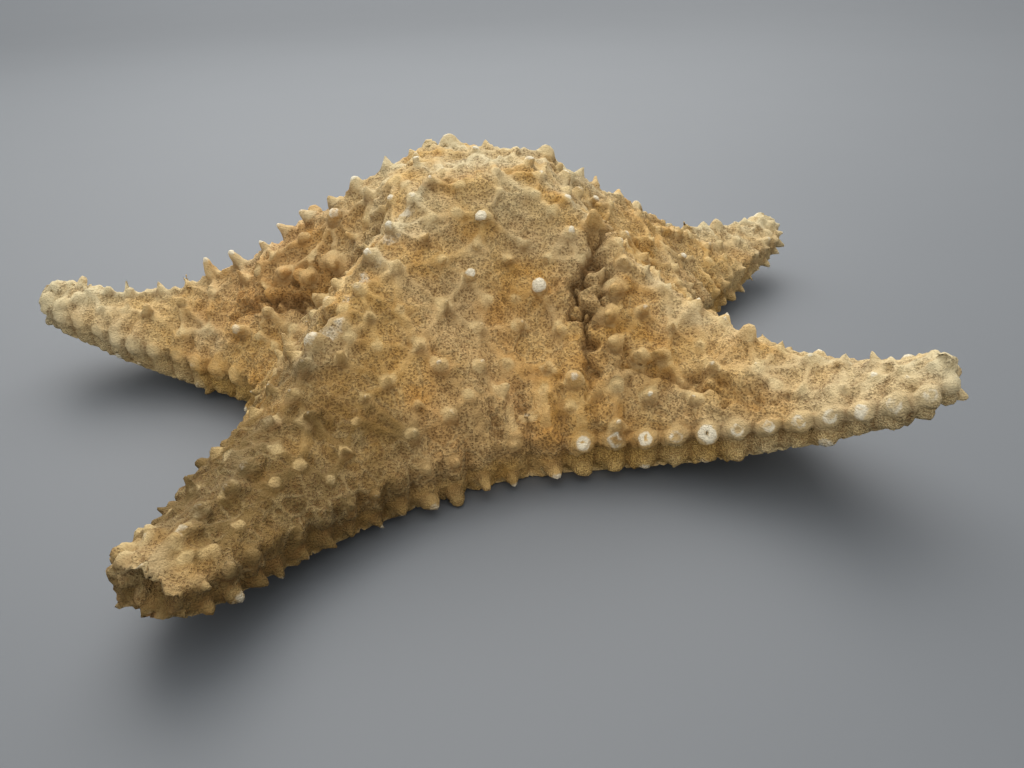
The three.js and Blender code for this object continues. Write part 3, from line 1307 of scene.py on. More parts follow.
    def _pierced(self, ridge: Array) -> Array:
        """Give how densely the skin is pierced between its ridges and on the plain upper wall.

        Args:
            ridge: How much of a ridge each point lies on.

        Returns:
            Shares from 0 to 1.
        """
        level = self.spot.height / self.margin
        plain_wall = self.wall * (1.0 - self.swollen) * smoothstep(level, 0.35, 0.7)
        patch = 0.35 + 0.65 * smoothstep(self.noise(8.0, Variation.PORE_FIELDS), -0.9, 0.3)
        return np.maximum(self.top_skin, plain_wall) * smoothstep(ridge, 0.48, 0.1) * patch

    def _golden_wall(self) -> Array:
        """Give how much each point belongs to the granular lower wall, most where it is swollen."""
        lower = 1.0 - smoothstep(self.spot.height / self.margin, 0.45, 0.75)
        return self.wall * (0.45 + 0.55 * self.swollen) * lower

    def _net(self, ridge: Array) -> Array:
        """Give how far the net of ridges moves each point, calmer on the smooth front face.

        Args:
            ridge: How much of a ridge each point lies on.

        Returns:
            Pushes outward in millimetres.
        """
        on_arm = smoothstep(self.radius, 25.0, 45.0) * (1.0 - smoothstep(self.spot.across, 13.0, 25.0))
        rugged = 1.0 + (self.own("rugged") - 1.0) * on_arm
        calm = self.facing(self.front_azimuth, 36.0) * smoothstep(self.radius, 20.0, 36.0)
        rugged = rugged * (1.0 - 0.6 * calm) * (1.0 - 0.3 * smoothstep(self.share, 0.7, 0.95))
        fade = 1.0 - 0.6 * (1.0 - smoothstep(self.gap, 3.0, 10.0))
        return self.top_skin * rugged * fade * (self.net_height * ridge - self.net_sink)

    def _plates(self) -> tuple[Array, Array, Array]:
        """Swell the marginal plates and the ribs that run up from them.

        Returns:
            How far each point moves in millimetres, and from 0 to 1 how deep it lies between two
            plates and how high on a rib.
        """
        off_middle = self.count - np.floor(self.count) - 0.5
        middle = np.clip(np.cos(math.pi * off_middle), 0.0, 1.0)
        seam = bell(np.abs(off_middle) - 0.5, 0.2)
        size = 1.0 - 0.5 * smoothstep(self.share, 0.5, 1.0)
        reach = self.rib_reach + self.long_rib_reach * self.facing(self.ribbed_azimuth, 26.0)
        uneven = np.clip(0.75 + 0.35 * self.noise(24.0, Variation.RIB_LENGTHS), 0.2, 1.1)
        ribbed = self.top_skin * (1.0 - smoothstep(self.gap, 0.25 * reach, reach)) * uneven
        beside = off_middle * (self.rim.pitch + (self.rim.tip_pitch - self.rim.pitch) * self.share)
        bosses = np.zeros(len(self.points))
        for level in self.boss_levels:
            away = np.hypot(beside, self.spot.height - level * self.margin) / self.boss_radius
            bosses = np.maximum(bosses, np.sqrt(np.clip(1.0 - away * away, 0.0, 1.0)))
        bosses = bosses * np.clip(0.9 + 0.25 * self.noise(7.0, Variation.BOSSES), 0.3, 1.2)
        rib = self.rib_height * middle - self.rib_sink
        push = self.wall * size * (rib + (self.boss_height * bosses - self.wall_sink - rib) * self.swollen)
        push += 1.25 * ribbed * size * rib
        seam = seam * np.maximum(self.wall * (1.0 + 0.5 * self.swollen), 1.3 * ribbed)
        return push, seam, ribbed * smoothstep(middle, 0.7, 0.95)

    def _knob_reach(self) -> tuple[Array, Array, Array]:
        """Measure the knobs' bodies, their worn tips, and the painted shadow below them.

        Returns:
            Three shares from 0 to 1 for each point: on a knob, worn white, painted shadow below a knob.
        """
        on_knob, bare, shade = (np.zeros(len(self.points)) for _ in range(3))
        for knob in self.top.knobs + self.edge.knobs:
            pick = self.cells.near(knob.foot, knob.foot + knob.axis * knob.height, knob.radius * 1.9)
            offset = self.points[pick] - knob.foot
            rise = offset @ knob.axis
            reach = np.linalg.norm(offset - rise[:, None] * knob.axis, axis=1) / knob.radius
            body = smoothstep(rise, -0.2, 0.6) * (1.0 - smoothstep(reach, 1.0, 1.35))
            level = rise / knob.height
            if knob.shape is KnobShape.BOSS:
                tip = smoothstep(level, 0.45, 0.8) * bell(reach - 0.45, 0.22)
            else:
                start = 0.7 if knob.shape is KnobShape.COLUMN else 0.62
                tip = smoothstep(level, start, start + 0.2) * (1.0 - smoothstep(reach, 1.0, 1.2))
            # Painted shadow: the skin on the downhill side of each knob's foot is darkened as if shaded.
            downhill = knob.axis[:2] / max(np.linalg.norm(knob.axis[:2]), 0.3)
            below = smoothstep(offset[:, :2] @ downhill / knob.radius, -0.1, 0.8)
            near_foot = 1.0 - smoothstep(level, 0.3, 0.7)
            painted_darkening = below * (1.0 - smoothstep(reach, 1.0, 1.6)) * near_foot
            on_knob[pick] = np.maximum(on_knob[pick], body)
            bare[pick] = np.maximum(bare[pick], tip * knob.wear)
            shade[pick] = np.maximum(shade[pick], painted_darkening * min(1.0, knob.height / 2.2))
        return on_knob, bare, shade * (1.0 - self.under)

    def _folds(self) -> tuple[Array, Array]:
        """Work out the creases.

        Returns:
            How far each point moves in millimetres, and how sunk it is, from 0 to 1, which is painted as
            shade.
        """
        facing_up = smoothstep(self.normals[:, 2], -0.1, 0.35)
        strayed = self.points.copy()
        strayed[:, 0] += 0.9 * self.noise(3.6, Variation.CREASE_X)
        strayed[:, 1] += 0.9 * self.noise(3.6, Variation.CREASE_Y)
        sunk = np.zeros(len(self.points))
        push = np.zeros(len(self.points))
        for crease in CREASES:
            distance, force = crease.reach(strayed)
            pit = bell(distance, crease.width * (0.6 + 0.4 * force)) * force
            push -= crease.depth * pit * facing_up
            bulge = bell(distance - 2.6 * crease.width, 1.3 * crease.width)
            push += crease.shoulder * force * bulge * facing_up
            # Painted shade: the deeper a crease, the darker its pit is painted.
            sunk = np.maximum(sunk, pit * facing_up * min(1.0, crease.depth / 3.5))
        return push, sunk

    def _underside(self) -> tuple[Array, Array]:
        """Work out the small plates and the grooves of the underside.

        Returns:
            How far each point is sunk in millimetres, and how much painted shade it gets in the groove,
            the gaps of the comb and the seams, from 0 to 1.
        """
        row = (self.gap + 0.5 * self.noise(5.0, Variation.SEAM_ROWS)) / self.tile_depth
        tile = np.abs(np.mod(row, 1.0) - 0.5) * 2.0
        count = self.count * 2.0 + 0.5 * np.floor(row) + 0.14 * self.noise(4.0, Variation.SEAM_COUNTS)
        beside = np.abs(np.mod(count, 1.0) - 0.5) * 2.0
        seams = np.maximum(smoothstep(tile, 0.7, 1.0), smoothstep(beside, 0.75, 1.0))
        furrow = bell(self.spot.across - self.comb_place, 1.1)
        comb = 0.5 + 0.5 * np.cos(self.spot.along * (2.0 * math.pi / self.comb_gap))
        groove = 0.85 * (1.0 - smoothstep(self.spot.across, 2.0, 4.6))
        depth = self.tile_seam * seams * (1.0 - furrow) + self.comb_depth * furrow * comb
        # Painted shade in the groove, the gaps of the comb and the seams between the small plates.
        return depth, np.maximum(groove, 0.34 * seams + 0.4 * furrow * comb)

    def _frost(self) -> Array:
        """Give how white the crest of the arm with the painted end shade is where it is frosted with lime.

        Returns:
            Shares from 0 to 1.
        """
        stretch = smoothstep(self.share, 0.12, 0.25) * (1.0 - smoothstep(self.share, 0.5, 0.7))
        crest = bell(self.spot.across, 3.5) * stretch * (1.0 - self.under)
        return 0.6 * self.own("olive") * crest * smoothstep(self.noise(6.0, Variation.FROST), -0.8, 0.8)

    def _pale(self) -> Array:
        """Give how bleached each point is, towards the tips, along the ridges and on the crown.

        Returns:
            Shares from 0 to 1.
        """
        outer = smoothstep(self.share + 0.06 * self.noise(12.0, Variation.PALE_EDGE), 0.5, 0.95)
        ridge = bell(self.spot.across, 5.0) * smoothstep(self.share, 0.02, 0.2)
        crown = bell(self.radius, self.crown_radius)
        cloud = np.clip(0.6 + 0.4 * self.noise(11.0, Variation.PALE_CLOUDS), 0.0, 1.0)
        upper = (0.6 * ridge + 0.9 * crown) * cloud * (1.0 - self.under)
        return np.clip(self.own("bleached") * outer + upper, 0.0, 1.0)

    def _warm(self) -> Array:
        """Give how much orange brown each point keeps, on warm arms, the front face and in clouds.

        Returns:
            Shares from 0 to 1.
        """
        stretch = smoothstep(self.radius, 25.0, 42.0) * (1.0 - smoothstep(self.share, 0.5, 0.72))
        arm = self.own("warmth") * stretch * (1.0 - smoothstep(self.spot.across, 14.0, 24.0))
        face = 0.4 * self.facing(self.front_azimuth, 40.0) * smoothstep(self.radius, 22.0, 36.0)
        cloud = 0.3 * smoothstep(self.noise(11.0, Variation.WARM_CLOUDS), 0.2, 1.4)
        return np.clip(arm + face + cloud, 0.0, 1.0)

    def _olive(self) -> Array:
        """Give how much painted shade darkens each point, less on the upward-facing top of the tip and on
        the underside.

        Returns:
            Shares from 0 to 1.
        """
        outer = smoothstep(self.share + 0.05 * self.noise(14.0, Variation.OLIVE_EDGE), 0.32, 0.72)
        # Painted light: the upward-facing top of the tip keeps more of its colour, as if lit.
        tip = smoothstep(self.share, 0.85, 0.95) * smoothstep(self.normals[:, 2], 0.2, 0.7)
        dark = self.own("olive") * outer * (1.0 - 0.55 * tip) * (1.0 - 0.5 * self.under)
        return np.clip(dark, 0.0, 1.0)

    def _broken_tip(self, carved: Array) -> Array:
        """Break off the very tip of the arm that lost it, leaving a rough hollow end.

        Args:
            carved: Carved points as rows of x, y, z in millimetres.

        Returns:
            The points, with those beyond the break drawn back to it.
        """
        arm = next(index for index, item in enumerate(self.form.arms) if item.broken)
        length = self.form.length[arm]
        end = self.form.skin(arm, 0, np.array([length - 8.0, length - 0.1]), np.array([0.0, 0.0]))
        out = (end[1] - end[0]) * np.array([1.0, 1.0, 0.0])
        out /= np.linalg.norm(out)
        offset = carved - end[1]
        beyond = offset @ out
        aside = np.linalg.norm(offset - beyond[:, None] * out + np.array([0.0, 0.0, 3.5]), axis=1)
        limit = 0.9 * self.noise(4.0, Variation.BREAK) - self.break_depth
        limit -= self.hollow_depth * bell(aside, self.hollow_radius)
        cut = np.minimum(0.0, limit - beyond) * (beyond > -9.0) * (aside < 14.0)
        return carved + cut[:, None] * out


@dataclass
class StarBody:
    """The whole dried body as one closed, carved mesh.

    Attributes:
        form: The star's form.
        centre: Where the disc's centre lies in the frame, in millimetres.
        voxel: Cell size of the remesh, in millimetres.
        wall_rows: Points down the side wall, with its two ends.
        floor_rows: Points from the foot of the wall to the mouth, without the first.
        tuck: How far the foot of the side wall lies inside the margin, in millimetres.
        most_triangles: Triangles left after thinning.
    """

    form: StarForm
    centre: tuple[float, float] = (9.07, -2.90)
    voxel: float = 0.5
    wall_rows: int = 11
    floor_rows: int = 34
    tuck: float = 2.2
    most_triangles: int = 196000

    def grid(self, steps: int = 48, top_rows: int = 60) -> tuple[Array, list[list[int]]]:
        """Build the smooth body from meridians.

        Args:
            steps: Meridians on each side of each arm.
            top_rows: Rows from the middle of the top to the margin.

        Returns:
            Vertices, and faces as lists of vertex numbers.
        """
        columns = []
        for arm in range(len(self.form.arms)):
            for side in (0, 1):
                share = np.arange(steps) / steps if side == 0 else 1.0 - np.arange(steps) / steps
                along = self.form.notch_to_tip(arm, side, share)
                columns.append(self._rows(arm, side, along, top_rows))
        points = np.concatenate(columns, axis=1)
        rows, around = points.shape[:2]
        number = np.arange(rows * around).reshape(rows, around)
        right = np.roll(number, -1, axis=1)
        faces = np.stack([number[:-1], number[1:], right[1:], right[:-1]], axis=-1).reshape(-1, 4).tolist()
        faces += [number[0].tolist(), number[-1, ::-1].tolist()]
        return points.reshape(-1, 3), faces

    def _rows(self, arm: int, side: int, along: Array, top_rows: int) -> Array:
        """Give the points of one side's meridians, from the top over the margin to the mouth.

        Args:
            arm: Index of the arm.
            side: 0 right of its ridge, 1 left of it.
            along: Where each meridian meets the margin, as distances along the ridge in millimetres.
            top_rows: Rows from the middle of the top to the margin.

        Returns:
            Points by row, meridian, and x, y and z.
        """
        index, which = np.full(len(along), arm), np.full(len(along), side)
        rim = Spot(index, which, along, np.zeros(len(along)), np.zeros(len(along)))
        width = self.form.half_width(rim)
        margin = self.form.margin_height(rim)
        rows = []
        for share in np.linspace(0.002, 1.0, top_rows):
            spot = Spot(index, which, along * share, width * share, margin)
            spot.height = self.form.top_height(spot)
            rows.append(self.form.place(spot))
        reach = np.hypot(along, width)
        for angle in np.linspace(0.0, math.pi, self.wall_rows)[1:-1]:
            out = 1.0 + (0.9 * math.sin(angle) - self.tuck * (1.0 - math.cos(angle)) / 2.0) / reach
            height = margin * (0.5 + 0.5 * math.cos(angle))
            rows.append(self.form.place(Spot(index, which, along * out, width * out, height)))
        inner = 1.0 - (self.tuck + 0.3) / reach
        for share in [1.0, *np.linspace(0.97, 0.002, self.floor_rows)]:
            spot = Spot(index, which, along * inner * share, width * inner * share, margin)
            spot.height = self.form.floor_height(spot)
            rows.append(self.form.place(spot))
        return np.array(rows)

    def remesh(self, parts: Sequence[tuple[Array, list[list[int]]]]) -> bpy.types.Object:
        """Join closed parts into one evenly meshed body.

        Args:
            parts: Vertices in millimetres and faces of each part.

        Returns:
            The object, with its mesh in metres.
        """
        vertices, faces, start = [], [], 0
        for points, polygons in parts:
            vertices.append(points)
            faces += [[number + start for number in polygon] for polygon in polygons]
            start += len(points)
        mesh = bpy.data.meshes.new("starfish_body")
        mesh.from_pydata((np.concatenate(vertices) * MM).tolist(), [], faces)
        body = bpy.data.objects.new("starfish_body", mesh)
        bpy.context.scene.collection.objects.link(body)
        modifier = body.modifiers.new("remesh", "REMESH")
        modifier.mode = "VOXEL"
        modifier.voxel_size = self.voxel * MM
        return self._applied(body)

    def _applied(self, body: bpy.types.Object) -> bpy.types.Object:
        """Apply an object's modifiers to its mesh.

        Args:
            body: The object.

        Returns:
            The same object with its new mesh.
        """
        graph = bpy.context.evaluated_depsgraph_get()
        graph.update()
        result = bpy.data.meshes.new_from_object(body.evaluated_get(graph), preserve_all_data_layers=True,
                                                 depsgraph=graph)
        old = body.data
        body.modifiers.clear()
        body.data = result
        bpy.data.meshes.remove(old)
        return body

    def _read(self, items: Any, name: str) -> Array:
        """Read a vector of every item of a mesh.

        Args:
            items: The items, such as its vertices.
            name: Name of the vector.

        Returns:
            The vectors as rows of x, y, z.
        """
        flat = np.empty(len(items) * 3)
        items.foreach_get(name, flat)
        return flat.reshape(-1, 3)

    def build(self) -> bpy.types.Object:
        """Build the carved body.

        Returns:
            The finished object, placed in the frame.
        """
        rim = Rim(self.form)
        top, edge = KnobPlan(self.form, rim).build()
        LOG.info("%d knobs on top, %d at the margin", len(top.knobs), len(edge.knobs))
        rng = np.random.default_rng(SEED + 1)
        body = self.remesh([self.grid(), *(knob.mesh(rng) for knob in top.knobs + edge.knobs)])
        LOG.info("remeshed to %d points", len(body.data.vertices))
        points = self._read(body.data.vertices, "co") / MM
        normals = self._read(body.data.vertex_normals, "vector")
        carved, skin = Carving(self.form, rim, top, edge, points, normals).carve()
        carved[:, :2] += np.array(self.centre)
        carved[:, 2] = np.maximum(carved[:, 2], 0.0)
        body.data.vertices.foreach_set("co", (carved * MM).ravel())
        for item in fields(skin):
            layer = body.data.attributes.new(item.name, "FLOAT", "POINT")
            layer.data.foreach_set("value", getattr(skin, item.name).astype(np.float32))
        body.data.update()
        triangles = sum(len(polygon.vertices) - 2 for polygon in body.data.polygons)
        modifier = body.modifiers.new("thin", "DECIMATE")
        modifier.ratio = min(1.0, self.most_triangles / triangles)
        self._applied(body)
        body.data.shade_smooth()
        LOG.info("thinned from %d to %d triangles", triangles, len(body.data.polygons))
        return body


def srgb(red: int, green: int, blue: int) -> tuple[float, float, float, float]:
    """Turn a colour as seen on a screen into the linear colour a shader takes.

    Args:
        red: Red from 0 to 255.
        green: Green from 0 to 255.
        blue: Blue from 0 to 255.

    Returns:
        The linear colour with full opacity.
    """
    linear = []
    for part in (red, green, blue):
        share = part / 255.0
        linear.append(share / 12.92 if share <= 0.04045 else ((share + 0.055) / 1.055) ** 2.4)
    return (linear[0], linear[1], linear[2], 1.0)


class Nodes:
    """The node tree of one material."""

    def __init__(self, material: bpy.types.Material) -> None:
        """Start with an empty tree.

        Args:
            material: The material that the nodes make.
        """
        material.use_nodes = True
        self.tree = material.node_tree
        self.tree.nodes.clear()

    def add(self, kind: str, settings: dict[str, Any] | None = None,
            inputs: dict[str | int, Any] | None = None) -> bpy.types.Node:
        """Add a node.

        Args:
            kind: Type name of the node.
            settings: Properties of the node, set before its sockets.
            inputs: Values or links of its sockets, by name or number.

        Returns:
            The new node.
        """
        node = self.tree.nodes.new(kind)
        for name, value in (settings or {}).items():
            setattr(node, name, value)
        for name, value in (inputs or {}).items():
            self.feed(node.inputs[name], value)
        return node

    def feed(self, socket: bpy.types.NodeSocket, value: Any) -> None:
        """Set a socket, or link it.

        Args:
            socket: The socket of a node.
            value: A number or colour to set, or a value to link.
        """
        if isinstance(value, Value):
            self.tree.links.new(value.socket, socket)
        else:
            socket.default_value = value

    def layer(self, name: str) -> "Value":
        """Read a number that is stored at every point of the mesh."""
        node = self.add("ShaderNodeAttribute", {"attribute_name": name, "attribute_type": "GEOMETRY"})
        return Value(self, node.outputs["Fac"])

    def place(self) -> "Value":
        """Give the position on the object, in metres."""
        return Value(self, self.add("ShaderNodeTexCoord").outputs["Object"])

    def noise(self, place: "Value", size: float, detail: float = 3.0, roughness: float = 0.55) -> "Value":
        """Make cloudy noise from 0 to 1.

        Args:
            place: Position to read it at.
            size: Size of a cloud in metres.
            detail: How many finer layers it has.
            roughness: How strong the finer layers are.

        Returns:
            The noise.
        """
        node = self.add("ShaderNodeTexNoise", {"noise_dimensions": "3D"},
                        {"Vector": place, "Scale": 1.0 / size, "Detail": detail, "Roughness": roughness})
        return Value(self, node.outputs["Fac"])

    def cells(self, place: "Value", size: float, jitter: float = 1.0, feature: str = "F1") -> "Value":
        """Make a pattern of cells.

        Args:
            place: Position to read it at.
            size: Size of a cell in metres.
            jitter: How irregular the cells are.
            feature: Which distance to measure, to a cell's middle or to its edge.

        Returns:
            The distance, as a share of the size.
        """
        node = self.add("ShaderNodeTexVoronoi", {"voronoi_dimensions": "3D", "feature": feature},
                        {"Vector": place, "Scale": 1.0 / size, "Randomness": jitter})
        return Value(self, node.outputs["Distance"])

    def step(self, value: "Value", low: float, high: float) -> "Value":
        """Ease a value from 0 to 1 between two limits.

        Args:
            value: Number to ease.
            low: Where the result is 0. It may be above the other limit.
            high: Where the result is 1.

        Returns:
            The eased number.
        """
        node = self.add("ShaderNodeMapRange", {"interpolation_type": "SMOOTHSTEP"},
                        {"Value": value, "From Min": low, "From Max": high})
        return Value(self, node.outputs["Result"])

    def mix(self, first: Any, second: Any, share: Any) -> "Value":
        """Mix two colours.

        Args:
            first: Colour at share 0.
            second: Colour at share 1.
            share: How much of the second colour shows.

        Returns:
            The mixed colour.
        """
        node = self.add("ShaderNodeMix", {"data_type": "RGBA"}, {0: share, 6: first, 7: second})
        return Value(self, node.outputs[2])


class Value:
    """A value that flows between nodes, with the arithmetic of ordinary numbers."""

    def __init__(self, nodes: Nodes, socket: bpy.types.NodeSocket) -> None:
        """Wrap a socket.

        Args:
            nodes: The tree the socket belongs to.
            socket: The output socket.
        """
        self.nodes = nodes
        self.socket = socket

    def _math(self, operation: str, first: Any, second: Any) -> "Value":
        """Combine two numbers with a Math node."""
        node = self.nodes.add("ShaderNodeMath", {"operation": operation}, {0: first, 1: second})
        return Value(self.nodes, node.outputs[0])

    def __add__(self, other: Any) -> "Value":
        """Add."""
        return self._math("ADD", self, other)

    def __radd__(self, other: Any) -> "Value":
        """Add to a number."""
        return self._math("ADD", other, self)

    def __sub__(self, other: Any) -> "Value":
        """Subtract."""
        return self._math("SUBTRACT", self, other)

    def __rsub__(self, other: Any) -> "Value":
        """Subtract from a number."""
        return self._math("SUBTRACT", other, self)

    def __mul__(self, other: Any) -> "Value":
        """Multiply."""
        return self._math("MULTIPLY", self, other)

    def __rmul__(self, other: Any) -> "Value":
        """Multiply a number."""
        return self._math("MULTIPLY", other, self)

    def most(self, other: Any) -> "Value":
        """Take the larger of two numbers."""
        return self._math("MAXIMUM", self, other)


@dataclass(frozen=True)
class SkeletonFinish:
    """The dried, limy skin: sandy tan, cream where it stands out, brown where it is pierced, and painted
    shade where it is sunk and on the end of one arm.

    Attributes:
        ochre: Darker ground colour.
        sand: Lighter ground colour, in patches over it.
        dust: Greyish clouds.
        rust: Orange brown that warm stretches keep.
        honey: Granular marginal plates.
        cream: Ridges, the net between the pores, and the underside.
        straw: Bleached stretches.
        moss: Painted shade on the outer half of one arm.
        umber: Specks, the hollows between granules, and painted shade in folds, between plates, below
            knobs and on the underside.
        pore: Inside of the pores.
        bone: Worn tips.
        pore_gap: Distance between fine pores, in metres.
        grain: Size of a granule, in metres.
        strap_gap: Width of a mesh of the fine net, in metres.
        relief: Height of the finest relief, in metres.
        roughness: Roughness of the skin.
        shine: Strength of the mirror-like part of its reflection.
    """

    ochre: tuple[int, int, int] = (176, 132, 64)
    sand: tuple[int, int, int] = (200, 162, 98)
    dust: tuple[int, int, int] = (184, 158, 112)
    rust: tuple[int, int, int] = (188, 132, 64)
    honey: tuple[int, int, int] = (204, 166, 90)
    cream: tuple[int, int, int] = (220, 196, 142)
    straw: tuple[int, int, int] = (206, 193, 156)
    moss: tuple[int, int, int] = (94, 74, 36)
    umber: tuple[int, int, int] = (112, 76, 34)
    pore: tuple[int, int, int] = (104, 70, 32)
    bone: tuple[int, int, int] = (228, 218, 192)
    pore_gap: float = 0.00056
    grain: float = 0.00042
    strap_gap: float = 0.0038
    relief: float = 0.00055
    roughness: float = 0.9
    shine: float = 0.25

    def build(self) -> bpy.types.Material:
        """Build the material.

        Returns:
            The finished material.
        """
        material = bpy.data.materials.new("dried_skeleton")
        nodes = Nodes(material)
        place = nodes.place()
        relief, pores, bare, sunk, gold, under, pale, warm, olive = (
            nodes.layer(item.name) for item in fields(Skin))
        cloud = nodes.noise(place, 0.02, 4.0)
        mottle = nodes.noise(place, 0.007, 3.0, 0.6)
        speckle = nodes.noise(place, 0.0016, 4.0, 0.7)
        crumb = nodes.noise(place, 0.0006, 2.0, 0.6)
        flake = nodes.noise(place, 0.0022, 4.0, 0.75)
        pierced = nodes.step(pores, 0.05, 0.35)
        fine = nodes.step(nodes.cells(place, self.pore_gap, 0.8), 0.47, 0.28)
        coarse = nodes.step(nodes.cells(place, self.pore_gap * 2.0), 0.28, 0.18)
        coarse = coarse * nodes.step(mottle, 0.45, 0.6)
        pits = fine.most(coarse) * pierced
        granules = nodes.cells(place, self.grain, 0.75)
        straps = nodes.step(nodes.cells(place, self.strap_gap, feature="DISTANCE_TO_EDGE"), 0.16, 0.02)
        lattice = straps * pierced * nodes.step(mottle, 0.35, 0.6)
        # Raised crests take less of the painted end shade.
        crests = 1.0 - 0.55 * nodes.step(relief, 0.7, 1.0)
        whiteness = nodes.step(bare * (0.1 + 1.7 * flake), 0.32, 0.75)
        coats = (
            (self.sand, nodes.step(mottle, 0.3, 0.58)),
            (self.dust, nodes.step(cloud, 0.42, 0.62) * 0.7),
            (self.rust, warm * (0.35 + 0.6 * mottle)),
            (self.honey, gold * 0.7),
            (self.cream, nodes.step(relief, 0.35, 1.0) * 0.45),
            (self.straw, pale * (1.0 - 0.4 * pores) * 0.8),
            (self.cream, under * 0.5),
            # Painted shade: one arm's outer half darkened to a dark brown.
            (self.moss, olive * (0.65 + 0.4 * mottle) * crests),
            (self.umber, nodes.step(speckle, 0.54, 0.3) * (0.25 + 0.2 * pierced)),
            # Painted shade: umber in folds, between plates, below knobs and in the underside's grooves and
            # seams.
            (self.umber, nodes.step(sunk, 0.1, 0.95) * 0.8),
            (self.umber, gold * nodes.step(granules, 0.4, 0.65) * 0.5),
            (self.pore, pits * (0.3 + 0.34 * cloud) * (1.0 - 0.4 * pale)),
            (self.cream, lattice * 0.15),
            (self.bone, whiteness * 0.8),
        )
        colour = srgb(*self.ochre)
        for tint, share in coats:
            colour = nodes.mix(colour, srgb(*tint), share)
        height = speckle * 0.9 + crumb * 0.7 + lattice * 0.4 - pits * 0.5 - granules * (0.35 + 0.65 * gold)
        bump = nodes.add("ShaderNodeBump", None, {
            "Strength": 1.0,
            "Distance": self.relief,
            "Height": height,
        })
        shader = nodes.add("ShaderNodeBsdfPrincipled", None, {
            "Base Color": colour,
            "Roughness": self.roughness - 0.25 * whiteness,
            "Normal": Value(nodes, bump.outputs["Normal"]),
            "Specular IOR Level": self.shine,
        })
        nodes.add("ShaderNodeOutputMaterial", None, {"Surface": Value(nodes, shader.outputs["BSDF"])})
        return material


@dataclass(frozen=True)
class PlainFinish:
    """A plain matt finish for the floor, very slightly clouded.

    Attributes:
        colour: The lighter of its two tones.
        darker: How much darker the other tone is, on a scale to 255.
        cloud_size: Size of a cloud, in metres.
        roughness: Roughness of the floor.
    """

    colour: tuple[int, int, int] = (94, 97, 100)
    darker: int = 3
    cloud_size: float = 0.12
    roughness: float = 0.55

    def build(self) -> bpy.types.Material:
        """Build the material.

        Returns:
            The finished material.
        """
        material = bpy.data.materials.new("pale_floor")
        nodes = Nodes(material)
        cloud = nodes.noise(nodes.place(), self.cloud_size, 2.0)
        pale, shade = srgb(*self.colour), srgb(*(part - self.darker for part in self.colour))
        shader = nodes.add("ShaderNodeBsdfPrincipled", None, {
            "Base Color": nodes.mix(shade, pale, cloud),
            "Roughness": self.roughness,
        })
        nodes.add("ShaderNodeOutputMaterial", None, {"Surface": Value(nodes, shader.outputs["BSDF"])})
        return material


@dataclass(frozen=True)
class Lamp:
    """A square soft light.

    Attributes:
        name: What it is called.
        place: Where it hangs, in metres.
        aim: The point it faces.
        size: Length of its side.
        power: Its power in watts.
        colour: Its colour.
    """

    name: str
    place: tuple[float, float, float]
    aim: tuple[float, float, float]
    size: float
    power: float
    colour: tuple[float, float, float]

    def build(self) -> None:
        """Hang the light."""
        light = bpy.data.lights.new(self.name, "AREA")
        light.shape = "SQUARE"
        light.size = self.size
        light.energy = self.power
        light.color = self.colour
        lamp = bpy.data.objects.new(self.name, light)
        lamp.location = self.place
        lamp.rotation_euler = (Vector(self.aim) - Vector(self.place)).to_track_quat("-Z", "Y").to_euler()
        bpy.context.scene.collection.objects.link(lamp)


LAMPS = (
    Lamp("window", (-0.12, 0.42, 0.6), (0.0, 0.0, 0.0), 0.8, 4.4, (1.0, 0.985, 0.96)),
    Lamp("ceiling", (0.1, 0.0, 0.9), (0.0, 0.0, 0.0), 1.0, 2.8, (1.0, 0.99, 0.97)),
    Lamp("front", (-0.1, -0.8, 0.33), (0.0, 0.0, 0.0), 1.2, 2.6, (1.0, 0.99, 0.97)),
    Lamp("far", (0.0, 2.6, 1.8), (0.0, 2.6, 0.0), 3.0, 60.0, (1.0, 1.0, 1.0)),
)


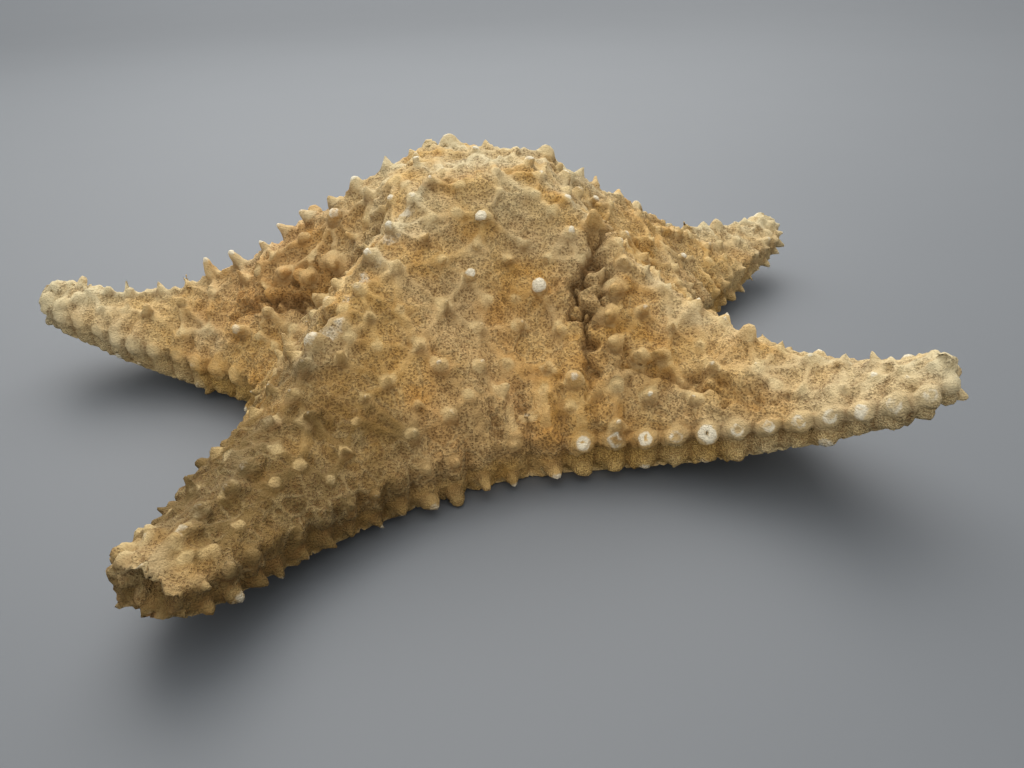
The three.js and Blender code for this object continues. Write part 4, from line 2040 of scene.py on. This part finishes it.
@dataclass
class Studio:
    """Floor, lights and camera.

    Attributes:
        star_centre: Where the disc's centre lies in the frame, in metres.
        eye: Camera position from that centre, in metres.
        pitch: How far the camera looks down, in degrees.
        roll: How far it leans, in degrees.
        lens: Focal length of the camera, in millimetres.
        sensor: Width of its sensor, in millimetres.
        nearest: How near to the camera things are still seen, in metres.
        floor_size: Side of the square floor, in metres.
        sky: Colour of the light from all around.
        sky_strength: Strength of that light.
    """

    star_centre: tuple[float, float]
    eye: tuple[float, float, float] = (0.009, -0.2092, 0.1042)
    pitch: float = 28.0
    roll: float = -1.7
    lens: float = 29.86
    sensor: float = 36.0
    nearest: float = 0.01
    floor_size: float = 60.0
    sky: tuple[float, float, float, float] = (0.94, 0.97, 1.0, 1.0)
    sky_strength: float = 0.68

    def build(self) -> None:
        """Build the whole studio."""
        self._floor()
        self._lights()
        self._camera()

    def _floor(self) -> None:
        """Build a wide flat floor."""
        half = self.floor_size / 2.0
        mesh = bpy.data.meshes.new("floor")
        corners = [(-half, -half, 0.0), (half, -half, 0.0), (half, half, 0.0), (-half, half, 0.0)]
        mesh.from_pydata(corners, [], [(0, 1, 2, 3)])
        mesh.materials.append(PlainFinish().build())
        floor = bpy.data.objects.new("floor", mesh)
        bpy.context.scene.collection.objects.link(floor)

    def _lights(self) -> None:
        """Hang soft lights behind, over and in front of the star, and one over the far floor."""
        for lamp in LAMPS:
            lamp.build()
        world = bpy.data.worlds.new("surround")
        world.use_nodes = True
        background = world.node_tree.nodes["Background"]
        background.inputs["Color"].default_value = self.sky
        background.inputs["Strength"].default_value = self.sky_strength
        bpy.context.scene.world = world

    def _camera(self) -> None:
        """Place the camera low in front of the star, with plain colours in its pictures."""
        bpy.context.scene.view_settings.view_transform = "Standard"
        camera = bpy.data.cameras.new("camera")
        camera.lens = self.lens
        camera.sensor_width = self.sensor
        camera.clip_start = self.nearest
        view = bpy.data.objects.new("camera", camera)
        view.location = (self.eye[0] + self.star_centre[0], self.eye[1] + self.star_centre[1], self.eye[2])
        view.rotation_mode = "XYZ"
        view.rotation_euler = (math.radians(90.0 - self.pitch), 0.0, 0.0)
        view.rotation_euler.rotate_axis("Z", math.radians(self.roll))
        bpy.context.scene.collection.objects.link(view)
        bpy.context.scene.camera = view


def main() -> None:
    """Build the star's body, dress it, and set it in the studio."""
    logging.basicConfig(level=logging.INFO, format="%(name)s: %(message)s")
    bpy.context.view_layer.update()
    star = StarBody(StarForm())
    body = star.build()
    body.data.materials.append(SkeletonFinish().build())
    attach(body, "root")
    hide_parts("starfish")
    LOG.info("starfish body: %d triangles", len(body.data.polygons))
    Studio((star.centre[0] * MM, star.centre[1] * MM)).build()
    LOG.info("floor, lights and camera placed")


if __name__ == "__main__":
    main()
